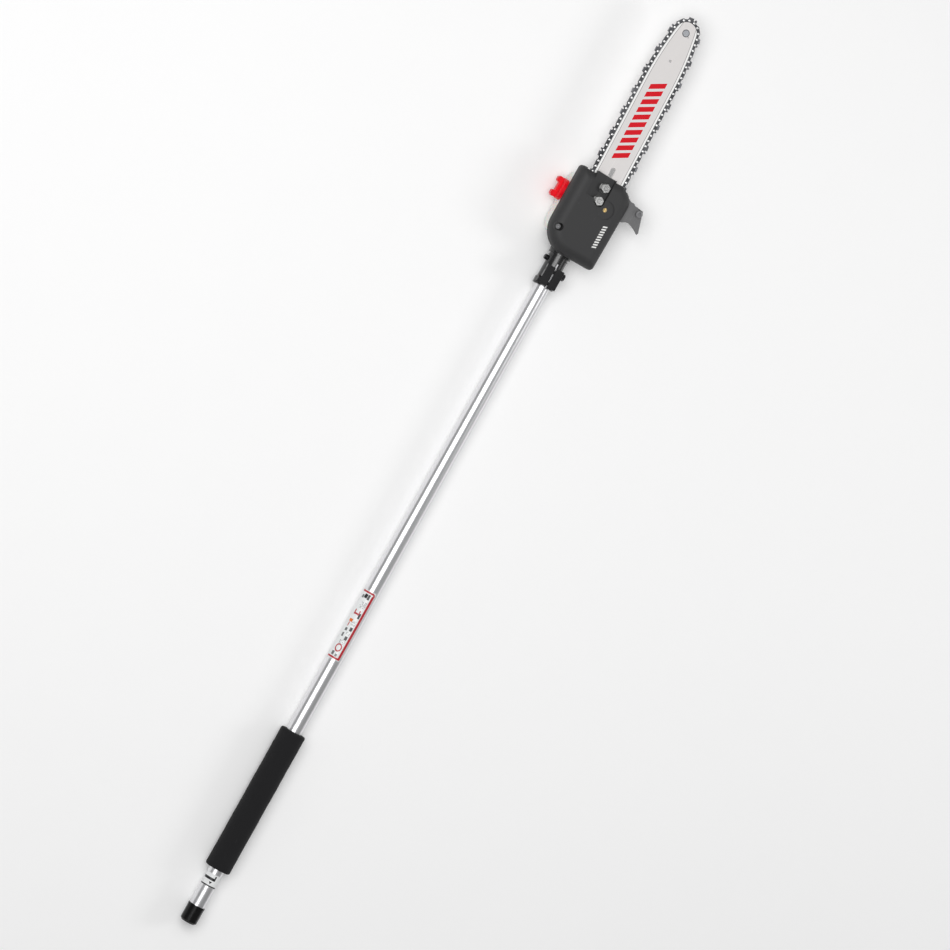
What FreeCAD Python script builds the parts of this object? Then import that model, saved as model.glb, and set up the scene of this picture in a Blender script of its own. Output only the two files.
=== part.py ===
import FreeCAD, Part
import math
import os
import Sketcher
from FreeCAD import Placement, Rotation, Vector

# A pole pruner attachment, lying with its pole along +X and its chain side up (+Z).
# The origin is the centre of the drive tube's lower end, where a power head's coupler seats.
# Head pieces are drawn round the sprocket axis, and bar pieces lie along the leaning bar line.

os.makedirs("parts", exist_ok=True)
doc = FreeCAD.newDocument("pole_pruner")
sheet = doc.addObject("Spreadsheet::Sheet", "sizes")

SIZES = [
    # pole
    ("tube_dia", 25.4, "drive tube outside diameter"),
    ("tube_wall", 1.5, "drive tube wall"),
    ("tube_length", 1223, "drive tube length"),
    ("cap_wall", 1.6, "end cap side wall"),
    ("cap_floor", 3, "end cap floor"),
    ("cap_length", 31, "end cap overall length"),
    ("slip_gap", 0.05, "radial gap of a sliding or turning fit"),
    ("decal_start", 64, "tube end to insertion decal"),
    ("decal_length", 22, "insertion decal length"),
    ("foil", 0.12, "thickness of decal and label foil"),
    ("grip_start", 95, "tube end to foam grip"),
    ("grip_length", 254, "foam grip length"),
    ("grip_dia", 44, "foam grip outside diameter"),
    ("label_start", 483, "tube end to label"),
    ("label_length", 125, "label length"),
    ("label_wrap", 150, "label wrap angle, degrees"),
    ("label_turn", 64, "label right edge, degrees up from the hook side"),
    # drive shaft inside the pole
    ("shaft_dia", 7, "drive shaft diameter"),
    ("shaft_recess", 4, "drive shaft end below the tube end"),
    ("shaft_square", 4.8, "square drive end across flats"),
    ("square_length", 20, "length of each square drive end"),
    ("bush_length", 20, "shaft bush length"),
    ("bush_count", 5, "number of shaft bushes"),
    # clamp adaptor
    ("clamp_reach", 50, "tube length held inside the adaptor"),
    ("adaptor_dia", 33, "adaptor barrel diameter"),
    ("collar_dia", 37, "adaptor end collar diameter"),
    ("collar_length", 13, "adaptor end collar length"),
    ("flange_dia", 39, "adaptor and neck flange diameter"),
    ("flange_thick", 5, "thickness of each flange"),
    ("slit_width", 2.5, "clamp slit width"),
    ("slit_length", 43, "clamp slit length"),
    ("lug_half_width", 15.5, "clamp lug half width"),
    ("lug_height", 20, "clamp lug top above the pole axis"),
    ("lug_length", 36, "clamp lug length"),
    ("clamp_bolt_dia", 6, "pinch bolt diameter"),
    ("clamp_bolt_across", 10, "pinch bolt head across flats"),
    ("clamp_bolt_head", 4.5, "pinch bolt head height"),
    ("clamp_bolt_height", 16.2, "pinch bolt axis above the pole axis"),
    ("bolt_one", 8, "collar end to first pinch bolt"),
    ("bolt_two", 28, "collar end to second pinch bolt"),
    ("locating_screw_at", 45, "collar end to locating screw"),
    ("locating_screw_dia", 5, "locating screw diameter"),
    ("locating_knob_dia", 9, "locating screw head diameter"),
    # gear head
    ("head_reach", 61.5, "tube end to sprocket axis"),
    ("case_dia", 48, "gear case drum diameter"),
    ("case_bottom", 26, "case underside below the pole axis"),
    ("case_floor", 4, "case floor thickness"),
    ("pad_top", 30.5, "bar pad above the pole axis"),
    ("pad_thick", 5, "bar pad thickness"),
    ("neck_dia", 35, "case neck diameter"),
    ("neck_reach", 50.5, "neck end from the sprocket axis"),
    ("gear_module", 1.75, "bevel gear module"),
    ("pinion_teeth", 13, "teeth on the bevel pinion"),
    ("gear_teeth", 17, "teeth on the bevel gear"),
    ("gear_face", 6, "bevel tooth face width"),
    ("pinion_shank_dia", 10, "pinion shank diameter"),
    ("pinion_bearing_dia", 26, "pinion bearing outside diameter"),
    ("pinion_bearing_width", 8, "pinion bearing width"),
    ("lower_bearing_dia", 26, "lower sprocket shaft bearing outside diameter"),
    ("lower_bearing_width", 8, "lower sprocket shaft bearing width"),
    ("lower_journal_dia", 10, "lower journal diameter"),
    ("upper_bearing_dia", 35, "upper sprocket shaft bearing outside diameter"),
    ("upper_bearing_width", 11, "upper sprocket shaft bearing width"),
    ("upper_journal_dia", 15, "upper journal diameter"),
    ("upper_bearing_base", 15.5, "upper bearing lower face above the pole axis"),
    ("clip_thick", 1.2, "snap ring thickness"),
    ("clip_depth", 0.9, "snap ring groove depth"),
    ("pump_gap", 25, "oil pump axis from the sprocket axis"),
    ("pump_dia", 12, "oil pump barrel diameter"),
    ("pump_length", 20, "oil pump barrel length"),
    ("pump_drive_teeth", 22, "teeth on the pump drive gear"),
    ("pump_teeth", 28, "teeth on the pump gear"),
    ("pump_module", 1, "pump gear module"),
    ("pump_gear_width", 1.8, "pump gear width"),
    ("pump_spindle_dia", 5, "oil pump spindle diameter"),
    ("pump_port", 12, "oil pump inlet above the pole axis"),
    # bar and chain
    ("bar_lean", 1.24, "bar line turned from the pole line, degrees"),
    ("plate_thick", 1, "guide plate thickness"),
    ("rail_thick", 1.3, "bar side plate thickness"),
    ("groove_width", 1.4, "bar groove width"),
    ("groove_depth", 6.5, "bar groove depth"),
    ("bar_width", 53, "bar width at the rails"),
    ("bar_tail", 24, "bar tail end from the sprocket axis"),
    ("tail_radius", 20, "bar tail corner radius"),
    ("taper_start", 262, "start of the bar's taper from the sprocket axis"),
    ("nose_centre", 355.3, "nose centre from the sprocket axis"),
    ("nose_radius", 18.2, "bar nose radius"),
    ("stud_one", 51.1, "lower bar stud from the sprocket axis"),
    ("stud_gap", 22.9, "distance between the bar studs"),
    ("stud_dia", 8, "bar stud diameter"),
    ("slot_gap", 0.1, "bar slot clearance each side of a stud"),
    ("slot_end", 110, "bar slot's outer end from the sprocket axis"),
    ("tension_travel", 2.4, "bar travel of the chain tensioner"),
    ("nut_across", 13, "bar nut across flats"),
    ("nut_height", 8.5, "bar nut height with flange"),
    ("nut_flange_dia", 18.6, "bar nut flange diameter"),
    ("nut_flange_thick", 1.6, "bar nut flange thickness"),
    ("chain_pitch", 9.525, "distance between neighbouring chain rivets"),
    ("rivet_line", 3, "rivet line outside the bar's rail"),
    ("sprocket_teeth", 6, "drive links round the sprocket"),
    ("nose_teeth", 7, "teeth on the nose sprocket"),
    ("link_thick", 1.27, "drive link thickness"),
    ("strap_thick", 1.1, "tie strap thickness"),
    ("link_gap", 0.05, "side gap between chain plates"),
    ("tang_depth", 8, "drive link tang below the rivet line"),
    ("cutter_height", 6.3, "cutter top above the rivet line"),
    ("rivet_dia", 3, "chain rivet diameter"),
    ("rivet_head_dia", 4.2, "chain rivet head diameter"),
    ("rivet_head", 0.5, "chain rivet head height"),
    ("nose_rivet_dia", 10, "nose rivet plate diameter"),
    ("window_x", 304, "small bar window from the sprocket axis"),
    ("window_dia", 5, "small bar window diameter"),
    # cover
    ("cover_top", 48, "cover top above the pole axis"),
    ("cover_bottom", 20, "cover skirt edge above the pole axis"),
    ("cover_wall", 2.5, "cover wall"),
    ("cover_left", 51.5, "cover side on the oil cap side"),
    ("cover_right", 51.5, "cover side on the hook side"),
    ("cover_front", 94, "cover front edge from the sprocket axis"),
    ("cover_back", 52.5, "cover back edge behind the sprocket axis"),
    ("cover_knee", 77, "cover's widest point on the hook side, from the sprocket axis"),
    ("cover_knee_corner", 26, "cover corner radius at that point"),
    ("cover_front_right", 27, "cover front corner on the hook side"),
    ("cover_front_corner", 9, "cover corner radius at that front corner"),
    ("cover_set_back", 4.5, "cover front edge set back on the oil cap side"),
    ("cover_lip_corner", 6, "cover front corner radius on the oil cap side"),
    ("cover_back_right", 49.5, "cover back corner on the hook side"),
    ("cover_heel_corner", 6, "cover corner radius at that back corner"),
    ("cover_back_corner", 44, "cover back corner radius on the oil cap side"),
    ("shoulder_radius", 18, "rounding of the cover's oil cap shoulder"),
    ("nut_land", 39.5, "nut land above the pole axis"),
    ("nut_pocket_dia", 19.6, "pocket round each bar nut"),
    ("dish_dia", 31, "dish round the tension screw"),
    ("dish_depth", 1.5, "depth of that dish"),
    ("tension_x", 42.7, "tension screw from the sprocket axis"),
    ("tension_y", 15.7, "tension screw off the bar line, hook side"),
    ("tension_head_dia", 6.8, "tension screw head diameter"),
    ("rod_height", 40.5, "tension rod above the pole axis"),
    ("rod_dia", 4, "tension rod diameter"),
    ("rod_module", 0.55, "tension bevel module"),
    ("rod_teeth", 11, "teeth on each tension bevel"),
    ("pin_x", 62, "tension pin from the sprocket axis"),
    ("pin_dia", 5, "tension pin diameter"),
    ("cover_screw_x", 16.5, "cover screw behind the sprocket axis"),
    ("cover_screw_y", 38.5, "cover screw on the oil cap side"),
    ("cover_screw_dia", 5, "cover screw diameter"),
    ("cover_recess_dia", 13, "cover screw recess diameter"),
    # oil tank
    ("tank_back", 30, "tank end behind the sprocket axis"),
    ("tank_front", 75, "tank end ahead of the sprocket axis"),
    ("tank_inner", 27, "tank side towards the case"),
    ("tank_outer", 48, "tank side away from the case"),
    ("tank_bottom", 18, "tank floor below the pole axis"),
    ("tank_wall", 2, "tank wall"),
    ("neck_x", 40.5, "filler neck from the sprocket axis"),
    ("neck_bore_dia", 20, "filler neck bore"),
    ("oil_cap_dia", 36, "oil cap diameter"),
    ("oil_cap_rim", 7.5, "oil cap rim height"),
    ("oil_cap_wing", 19, "oil cap height to the wing tips"),
    ("wing_width", 9, "oil cap wing thickness"),
    ("line_dia", 5, "oil line outside diameter"),
    # branch hook
    ("hook_thick", 4, "branch hook thickness"),
    ("hook_root", 43, "hook root from the pole line"),
    ("hook_reach", 87, "hook tip from the pole line"),
    ("hook_screw_x", 66, "hook screw from the sprocket axis"),
    ("hook_screw_y", 73, "hook screw from the pole line"),
    ("hook_screw_dia", 6, "hook screw diameter"),
    ("hook_bed_start", 38, "near end of the hook's bed in the bar pad"),
    ("hook_bed_end", 82, "far end of the hook's bed in the bar pad"),
    ("link_half", 2.9, "chain plate half height"),
]

sheet.set("A1", "size")
sheet.set("B1", "value")
sheet.set("C1", "what it is")
for number, (alias, value, words) in enumerate(SIZES):
    row = number + 2
    sheet.set("A%d" % row, alias)
    sheet.set("B%d" % row, str(value))
    sheet.set("C%d" % row, words)
    sheet.setAlias("B%d" % row, alias)
doc.recompute()

NODES = []


def size(alias):
    """The value of one named size in the sheet."""
    return float(sheet.get(alias))


def value(text):
    """The number that an expression over the sheet's sizes gives."""
    return float(sheet.evalExpression(text))


def bind(item, path, text):
    """Tie one property of a document object to an expression over the sheet."""
    item.setExpression(path, text)


# Expressions shared by pieces that fit together.
HEAD_X = "sizes.tube_length + sizes.head_reach"
TUBE_RADIUS = "sizes.tube_dia / 2"
BAR_BASE = "sizes.pad_top + sizes.plate_thick"
BAR_MID = "sizes.pad_top + sizes.plate_thick + sizes.rail_thick + sizes.groove_width / 2"
BAR_TOP = "sizes.pad_top + sizes.plate_thick + sizes.rail_thick * 2 + sizes.groove_width"
OUTER_PLATE_TOP = "sizes.pad_top + sizes.plate_thick * 2 + sizes.rail_thick * 2 + sizes.groove_width"
GEAR_RADIUS = "sizes.gear_module * sizes.gear_teeth / 2"
PUMP_GEAR_TOP = "sizes.pad_top - 0.6"
PUMP_PORT = "sizes.pump_port"
SPROCKET_TOP = BAR_MID + " + sizes.link_thick / 2 + 4.5"
SCREW_SEAT = "sizes.cover_top - 3.8"
COVER_SCREW_SEAT = "sizes.pad_top + 4"
TANK_TOP = "sizes.cover_bottom - 1"
TENSION_X = "sizes.tension_x * cos(sizes.bar_lean) + sizes.tension_y * sin(sizes.bar_lean)"
TENSION_Y = "sizes.tension_x * sin(sizes.bar_lean) - sizes.tension_y * cos(sizes.bar_lean)"
STUD_ONE_X = "sizes.stud_one * cos(sizes.bar_lean)"
STUD_ONE_Y = "sizes.stud_one * sin(sizes.bar_lean)"
STUD_TWO_X = "(sizes.stud_one + sizes.stud_gap) * cos(sizes.bar_lean)"
STUD_TWO_Y = "(sizes.stud_one + sizes.stud_gap) * sin(sizes.bar_lean)"
TANK_SCREWS = [("8", "sizes.tank_outer - 6.5"), ("62", "sizes.tank_outer - 6.5")]
UP = Vector(0, 0, 1)
TURNS = {
    "z": Rotation(),
    "x": Rotation(Vector(0, 1, 0), 90),
    "-x": Rotation(Vector(0, 1, 0), -90),
    "y": Rotation(Vector(1, 0, 0), -90),
    "-y": Rotation(Vector(1, 0, 0), 90),
}


def keep(item, label):
    """Give an object its node name and put it on the list of sub-parts."""
    item.Label = label
    NODES.append(item)
    return item


def place(item, x="0", y="0", z="0", axis="z"):
    """Put an object's own Z along the named axis and bind where it stands."""
    item.Placement = Placement(Vector(value(x), value(y), value(z)), TURNS[axis])
    for letter, text in (("x", x), ("y", y), ("z", z)):
        if text != "0":
            bind(item, "Placement.Base." + letter, text)
    return item


def place_head(item):
    """Put an object that is drawn round the sprocket axis."""
    return place(item, HEAD_X)


def place_bar(item):
    """Put an object that is drawn along the bar line, which leans about the sprocket axis."""
    place(item, HEAD_X)
    bind(item, "Placement.Rotation.Angle", "sizes.bar_lean")
    return item


def new_body(name):
    body = doc.addObject("PartDesign::Body", name)
    body.AllowCompound = True
    return body


def new_sketch(body, plane="XY", height="0"):
    """A sketch on one of the body's own planes, raised by height along the plane's normal."""
    sketch = body.newObject("Sketcher::SketchObject", body.Name + "_sketch")
    role = plane + "_Plane"
    for feature in body.Origin.OriginFeatures:
        if feature.Role == role:
            sketch.AttachmentSupport = [(feature, "")]
    sketch.MapMode = "FlatFace"
    if height != "0":
        sketch.AttachmentOffset = Placement(Vector(0, 0, value(height)), Rotation())
        bind(sketch, "AttachmentOffset.Base.z", height)
    return sketch


def fix_point(sketch, element, end, texts):
    """Hold one point of a sketch by its two coordinates."""
    for kind, axis_line, text in (("DistanceX", -2, texts[0]), ("DistanceY", -1, texts[1])):
        if text == "0":
            sketch.addConstraint(Sketcher.Constraint("PointOnObject", element, end, axis_line))
        else:
            number = sketch.addConstraint(
                Sketcher.Constraint(kind, -1, 1, element, end, value(text))
            )
            bind(sketch, "Constraints[%d]" % number, text)


def draw_outline(sketch, points):
    """A closed outline of straight edges through the points."""
    first = sketch.GeometryCount
    count = len(points)
    places = [Vector(value(x), value(y), 0) for x, y in points]
    for index in range(count):
        line = Part.LineSegment(places[index], places[(index + 1) % count])
        sketch.addGeometry(line, False)
    for index in range(count):
        after = first + (index + 1) % count
        sketch.addConstraint(Sketcher.Constraint("Coincident", first + index, 2, after, 1))
    for index in range(count):
        fix_point(sketch, first + index, 1, points[index])
    return sketch


def draw_circle(sketch, x, y, diameter):
    """A circle held by its centre and diameter."""
    circle = Part.Circle(Vector(value(x), value(y), 0), UP, value(diameter) / 2)
    element = sketch.addGeometry(circle, False)
    fix_point(sketch, element, 3, (x, y))
    number = sketch.addConstraint(Sketcher.Constraint("Diameter", element, value(diameter)))
    bind(sketch, "Constraints[%d]" % number, diameter)
    return sketch


def draw_hexagon(sketch, x, y, across):
    """A hexagon with flats across the Y direction."""
    corner = "(%s) / sqrt(3)" % across
    half = "(%s) / 2" % across
    slant = "(%s) / sqrt(12)" % across
    offsets = [
        (corner, "0"), (slant, half), ("-" + slant, half),
        ("-" + corner, "0"), ("-" + slant, "-" + half), (slant, "-" + half),
    ]
    points = [("(%s) + (%s)" % (x, dx), "(%s) + (%s)" % (y, dy)) for dx, dy in offsets]
    return draw_outline(sketch, points)


def pad(body, sketch, length, down=False):
    feature = body.newObject("PartDesign::Pad", body.Name + "_pad")
    feature.Profile = sketch
    feature.Length = value(length)
    bind(feature, "Length", length)
    feature.Reversed = down
    return feature


def pocket(body, sketch, length, up=False):
    """Cut downwards from the sketch, or upwards when up is set."""
    feature = body.newObject("PartDesign::Pocket", body.Name + "_pocket")
    feature.Profile = sketch
    feature.Length = value(length)
    bind(feature, "Length", length)
    feature.Reversed = up
    return feature


def turn(body, sketch, angle="360"):
    """Revolve a sketch drawn on the XZ plane about the body's own Z axis."""
    feature = body.newObject("PartDesign::Revolution", body.Name + "_turned")
    feature.Profile = sketch
    feature.ReferenceAxis = (sketch, ["V_Axis"])
    feature.Angle = value(angle)
    if angle != "360":
        bind(feature, "Angle", angle)
    return feature


def turned(name, profile, angle="360"):
    """A body turned from a profile of (radius, height) points."""
    body = new_body(name)
    sketch = draw_outline(new_sketch(body, "XZ"), profile)
    turn(body, sketch, angle)
    return body


def ring(name, inner, outer, low, high):
    """A plain ring between two radii and two heights."""
    return turned(name, [(inner, low), (outer, low), (outer, high), (inner, high)])


def rod(name, radius, low, high):
    """A plain round rod."""
    return turned(name, [("0", low), (radius, low), (radius, high), ("0", high)])


def plate(name, points, low, thickness, holes=()):
    """A flat plate with round holes, drawn on the XY plane."""
    body = new_body(name)
    sketch = draw_outline(new_sketch(body, "XY", low), points)
    for x, y, diameter in holes:
        draw_circle(sketch, x, y, diameter)
    pad(body, sketch, thickness)
    return body


def upright_edges(shape, x_low, x_high, y_low, y_high):
    """Names of the straight edges along Z whose place lies in the given window."""
    names = []
    for index, edge in enumerate(shape.Edges):
        box = edge.BoundBox
        upright = box.XLength < 1e-6 and box.YLength < 1e-6
        if upright and x_low <= box.XMin <= x_high and y_low <= box.YMin <= y_high:
            names.append("Edge%d" % (index + 1))
    return names


def round_edges(body, base, names, radius):
    """Fillet the named edges of a feature."""
    feature = body.newObject("PartDesign::Fillet", body.Name + "_fillet")
    feature.Base = (base, names)
    feature.Radius = value(radius)
    bind(feature, "Radius", radius)
    doc.recompute()
    return feature


def group(label, items):
    """One node of several like pieces, each a solid of its own."""
    bundle = doc.addObject("Part::Compound", label)
    bundle.Links = items
    return keep(bundle, label)


# ---------------------------------------------------------------- pole

def make_end_cap():
    """A moulded cap pushed on the tube end, with a rounded nose and a thick lip."""
    outer = "sizes.tube_dia / 2 + sizes.slip_gap + sizes.cap_wall"
    bore = "sizes.tube_dia / 2 + sizes.slip_gap"
    inner_end = "-sizes.slip_gap"
    nose = "-sizes.slip_gap - sizes.cap_floor"
    mouth = "sizes.cap_length - sizes.cap_floor"
    lip = "sizes.cap_wall * 2"
    cap = turned("end_cap", [
        ("0", nose),
        (outer + " - sizes.cap_floor", nose),
        (outer, nose + " + sizes.cap_floor"),
        (outer, mouth + " - " + lip),
        (outer + " + sizes.cap_wall / 4", mouth + " - " + lip),
        (outer + " + sizes.cap_wall / 4", mouth),
        (bore, mouth),
        (bore, inner_end),
        ("0", inner_end),
    ])
    keep(place(cap, axis="x"), "end_cap")


def make_drive_tube():
    """A plain aluminium tube, drilled for the locating screw."""
    tube = ring("drive_tube", "sizes.tube_dia / 2 - sizes.tube_wall", TUBE_RADIUS, "0", "sizes.tube_length")
    hole = new_sketch(tube, "XZ")
    at = "sizes.tube_length - sizes.clamp_reach + sizes.locating_screw_at"
    draw_circle(hole, "0", at, "sizes.locating_screw_dia")
    doc.recompute()
    pocket(tube, hole, "sizes.tube_dia", up=False)
    keep(place(tube, axis="x"), "drive_tube")


def make_tube_dressing():
    """The foil insertion decal, the foam grip and the wrapped label."""
    foil_radius = "sizes.tube_dia / 2 + sizes.foil"
    decal = ring("insertion_decal", TUBE_RADIUS, foil_radius, "sizes.decal_start",
                 "sizes.decal_start + sizes.decal_length")
    keep(place(decal, axis="x"), "insertion_decal")
    bevel = "sizes.cap_floor"
    grip_end = "sizes.grip_start + sizes.grip_length"
    grip = turned("foam_grip", [
        (TUBE_RADIUS, "sizes.grip_start"),
        ("sizes.grip_dia / 2 - " + bevel, "sizes.grip_start"),
        ("sizes.grip_dia / 2", "sizes.grip_start + " + bevel),
        ("sizes.grip_dia / 2", grip_end + " - " + bevel),
        ("sizes.grip_dia / 2 - " + bevel, grip_end),
        (TUBE_RADIUS, grip_end),
    ])
    keep(place(grip, axis="x"), "foam_grip")
    label_end = "sizes.label_start + sizes.label_length"
    label = turned("tube_label", [
        (TUBE_RADIUS, "sizes.label_start"),
        (foil_radius, "sizes.label_start"),
        (foil_radius, label_end),
        (TUBE_RADIUS, label_end),
    ], "sizes.label_wrap")
    place(label, axis="x")
    # The wrap runs from the hook side over the top to below the oil cap side.
    start = 270 - size("label_turn") - size("label_wrap")
    label.Placement = Placement(Vector(), TURNS["x"].multiply(Rotation(UP, start)))
    keep(label, "tube_label")


def make_drive_shaft():
    """A steel shaft with a square at each end, carried in plastic bushes."""
    low = "sizes.shaft_recess"
    high = HEAD_X + " - sizes.neck_reach + sizes.clip_thick * 2 + sizes.square_length"
    shaft = rod("drive_shaft", "sizes.shaft_dia / 2", low, high)
    doc.recompute()
    half = "sizes.shaft_square / 2"
    far = "sizes.shaft_dia"
    for base, up in ((low, True), (high, False)):
        flats = new_sketch(shaft, "XY", base)
        draw_outline(flats, [(far, far), ("-" + far, far), ("-" + far, "-" + far), (far, "-" + far)])
        draw_outline(flats, [(half, half), ("-" + half, half), ("-" + half, "-" + half), (half, "-" + half)])
        pocket(shaft, flats, "sizes.square_length", up=up)
    keep(place(shaft, axis="x"), "drive_shaft")
    count = int(size("bush_count"))
    bushes = []
    for index in range(count):
        share = (index + 0.5) / count
        middle = "sizes.tube_length * %g" % share
        bush = ring("shaft_bush_%d" % (index + 1), "sizes.shaft_dia / 2 + sizes.slip_gap",
                    "sizes.tube_dia / 2 - sizes.tube_wall",
                    middle + " - sizes.bush_length / 2", middle + " + sizes.bush_length / 2")
        bushes.append(place(bush, axis="x"))
    group("shaft_bushes", bushes)


# ---------------------------------------------------------------- clamp adaptor

def make_clamp_adaptor():
    """A die-cast split sleeve that grips the tube and bolts to the gear case neck."""
    start = "sizes.tube_length - sizes.clamp_reach"
    end = HEAD_X + " - sizes.neck_reach"
    flange_back = end + " - sizes.flange_thick"
    step = end + " - sizes.flange_thick * 2"
    collar_end = start + " + sizes.collar_length"
    body = turned("clamp_adaptor", [
        (TUBE_RADIUS, start),
        ("sizes.collar_dia / 2", start),
        ("sizes.collar_dia / 2", collar_end + " - 2"),
        ("sizes.adaptor_dia / 2", collar_end),
        ("sizes.adaptor_dia / 2", step),
        ("sizes.adaptor_dia / 2 + 1.2", step),
        ("sizes.adaptor_dia / 2 + 1.2", step + " + 1.6"),
        ("sizes.adaptor_dia / 2", step + " + 1.6"),
        ("sizes.adaptor_dia / 2", flange_back),
        ("sizes.flange_dia / 2", flange_back),
        ("sizes.flange_dia / 2", end),
        ("sizes.shaft_dia", end),
        ("sizes.shaft_dia", "sizes.tube_length"),
        (TUBE_RADIUS, "sizes.tube_length"),
    ])
    doc.recompute()
    # Own Z runs along the pole and own -X is the pole's up, so the lug is drawn on the YZ plane.
    lug = new_sketch(body, "YZ", "-sizes.lug_height")
    lug_end = start + " + sizes.lug_length"
    draw_outline(lug, [
        ("-sizes.lug_half_width", start + " + 2"),
        ("sizes.lug_half_width", start + " + 2"),
        ("sizes.lug_half_width", lug_end),
        ("-sizes.lug_half_width", lug_end),
    ])
    pad(body, lug, "sizes.lug_height - sizes.tube_dia / 2 - 1")
    doc.recompute()
    slit = new_sketch(body, "YZ", "-sizes.lug_height - 1")
    draw_outline(slit, [
        ("-sizes.slit_width / 2", start + " - 1"),
        ("sizes.slit_width / 2", start + " - 1"),
        ("sizes.slit_width / 2", start + " + sizes.slit_length"),
        ("-sizes.slit_width / 2", start + " + sizes.slit_length"),
    ])
    pocket(body, slit, "sizes.lug_height", up=True)
    doc.recompute()
    for at in ("sizes.bolt_one", "sizes.bolt_two"):
        hole = new_sketch(body, "XZ", "-sizes.collar_dia")
        draw_circle(hole, "-sizes.clamp_bolt_height", start + " + " + at, "sizes.clamp_bolt_dia")
        pocket(body, hole, "sizes.collar_dia * 2", up=True)
        doc.recompute()
    hole = new_sketch(body, "XZ")
    draw_circle(hole, "0", start + " + sizes.locating_screw_at", "sizes.locating_screw_dia")
    pocket(body, hole, "sizes.collar_dia", up=False)
    keep(place(body, axis="x"), "clamp_adaptor")


def hex_bolt(name, reach):
    """A bolt along its own Z: hexagon head below zero, shank from zero up to its reach."""
    bolt = new_body(name)
    head = draw_hexagon(new_sketch(bolt, "XY"), "0", "0", "sizes.clamp_bolt_across")
    pad(bolt, head, "sizes.clamp_bolt_head", down=True)
    doc.recompute()
    shank = draw_circle(new_sketch(bolt, "XY"), "0", "0", "sizes.clamp_bolt_dia")
    pad(bolt, shank, reach)
    return bolt


def make_clamp_fasteners():
    """Two pinch bolts from opposite sides and the locating screw that keys the tube."""
    start = "sizes.tube_length - sizes.clamp_reach"
    reach = "sizes.lug_half_width * 2"
    first = hex_bolt("pinch_bolt_first", reach)
    place(first, start + " + sizes.bolt_one", "sizes.lug_half_width", "sizes.clamp_bolt_height", "-y")
    second = hex_bolt("pinch_bolt_second", reach)
    place(second, start + " + sizes.bolt_two", "-sizes.lug_half_width", "sizes.clamp_bolt_height", "y")
    group("pinch_bolts", [first, second])
    seat = "sizes.adaptor_dia / 2"
    screw = turned("locating_screw", [
        ("0", "sizes.tube_dia / 2 - sizes.tube_wall"),
        ("sizes.locating_screw_dia / 2", "sizes.tube_dia / 2 - sizes.tube_wall"),
        ("sizes.locating_screw_dia / 2", seat),
        ("sizes.locating_knob_dia / 2", seat),
        ("sizes.locating_knob_dia / 2", seat + " + 4.5"),
        ("sizes.locating_knob_dia / 2 - 1", seat + " + 5.5"),
        ("0", seat + " + 5.5"),
    ])
    keep(place(screw, start + " + sizes.locating_screw_at", axis="y"), "locating_screw")


for make in (make_end_cap, make_drive_tube, make_tube_dressing, make_drive_shaft,
             make_clamp_adaptor, make_clamp_fasteners):
    make()
    doc.recompute()

# ---------------------------------------------------------------- gear case and its shafts

PINION_HEEL = GEAR_RADIUS + " + sizes.gear_module"
SHANK_END = "sizes.neck_reach - sizes.clip_thick * 2"
FRONT_BEARING = PINION_HEEL + " + sizes.clip_thick * 2"
REAR_BEARING = FRONT_BEARING + " + sizes.pinion_bearing_width + 1"
REAR_CLIP = REAR_BEARING + " + sizes.pinion_bearing_width"
UPPER_TOP = "sizes.upper_bearing_base + sizes.upper_bearing_width"
LOWER_BASE = "sizes.case_floor - sizes.case_bottom"
LOWER_TOP = "sizes.case_floor - sizes.case_bottom + sizes.lower_bearing_width"
LINE_END = "sizes.tank_inner + (sizes.tank_outer - sizes.tank_inner) * 3 / 7"
PUMP_GEAR_BASE = "sizes.pad_top - sizes.pump_gear_width - 0.6"


def cover_points(inset):
    """The cover's plan outline, drawn inwards by an inset."""
    return [
        ("%s - sizes.cover_back" % inset, "%s - sizes.cover_back_right" % inset),
        ("sizes.cover_knee", "%s - sizes.cover_right" % inset),
        ("sizes.cover_front - %s" % inset, "%s - sizes.cover_front_right" % inset),
        ("sizes.cover_front - sizes.cover_set_back - %s" % inset, "sizes.cover_left - %s" % inset),
        ("%s - sizes.cover_back" % inset, "sizes.cover_left - %s" % inset),
    ]


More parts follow.
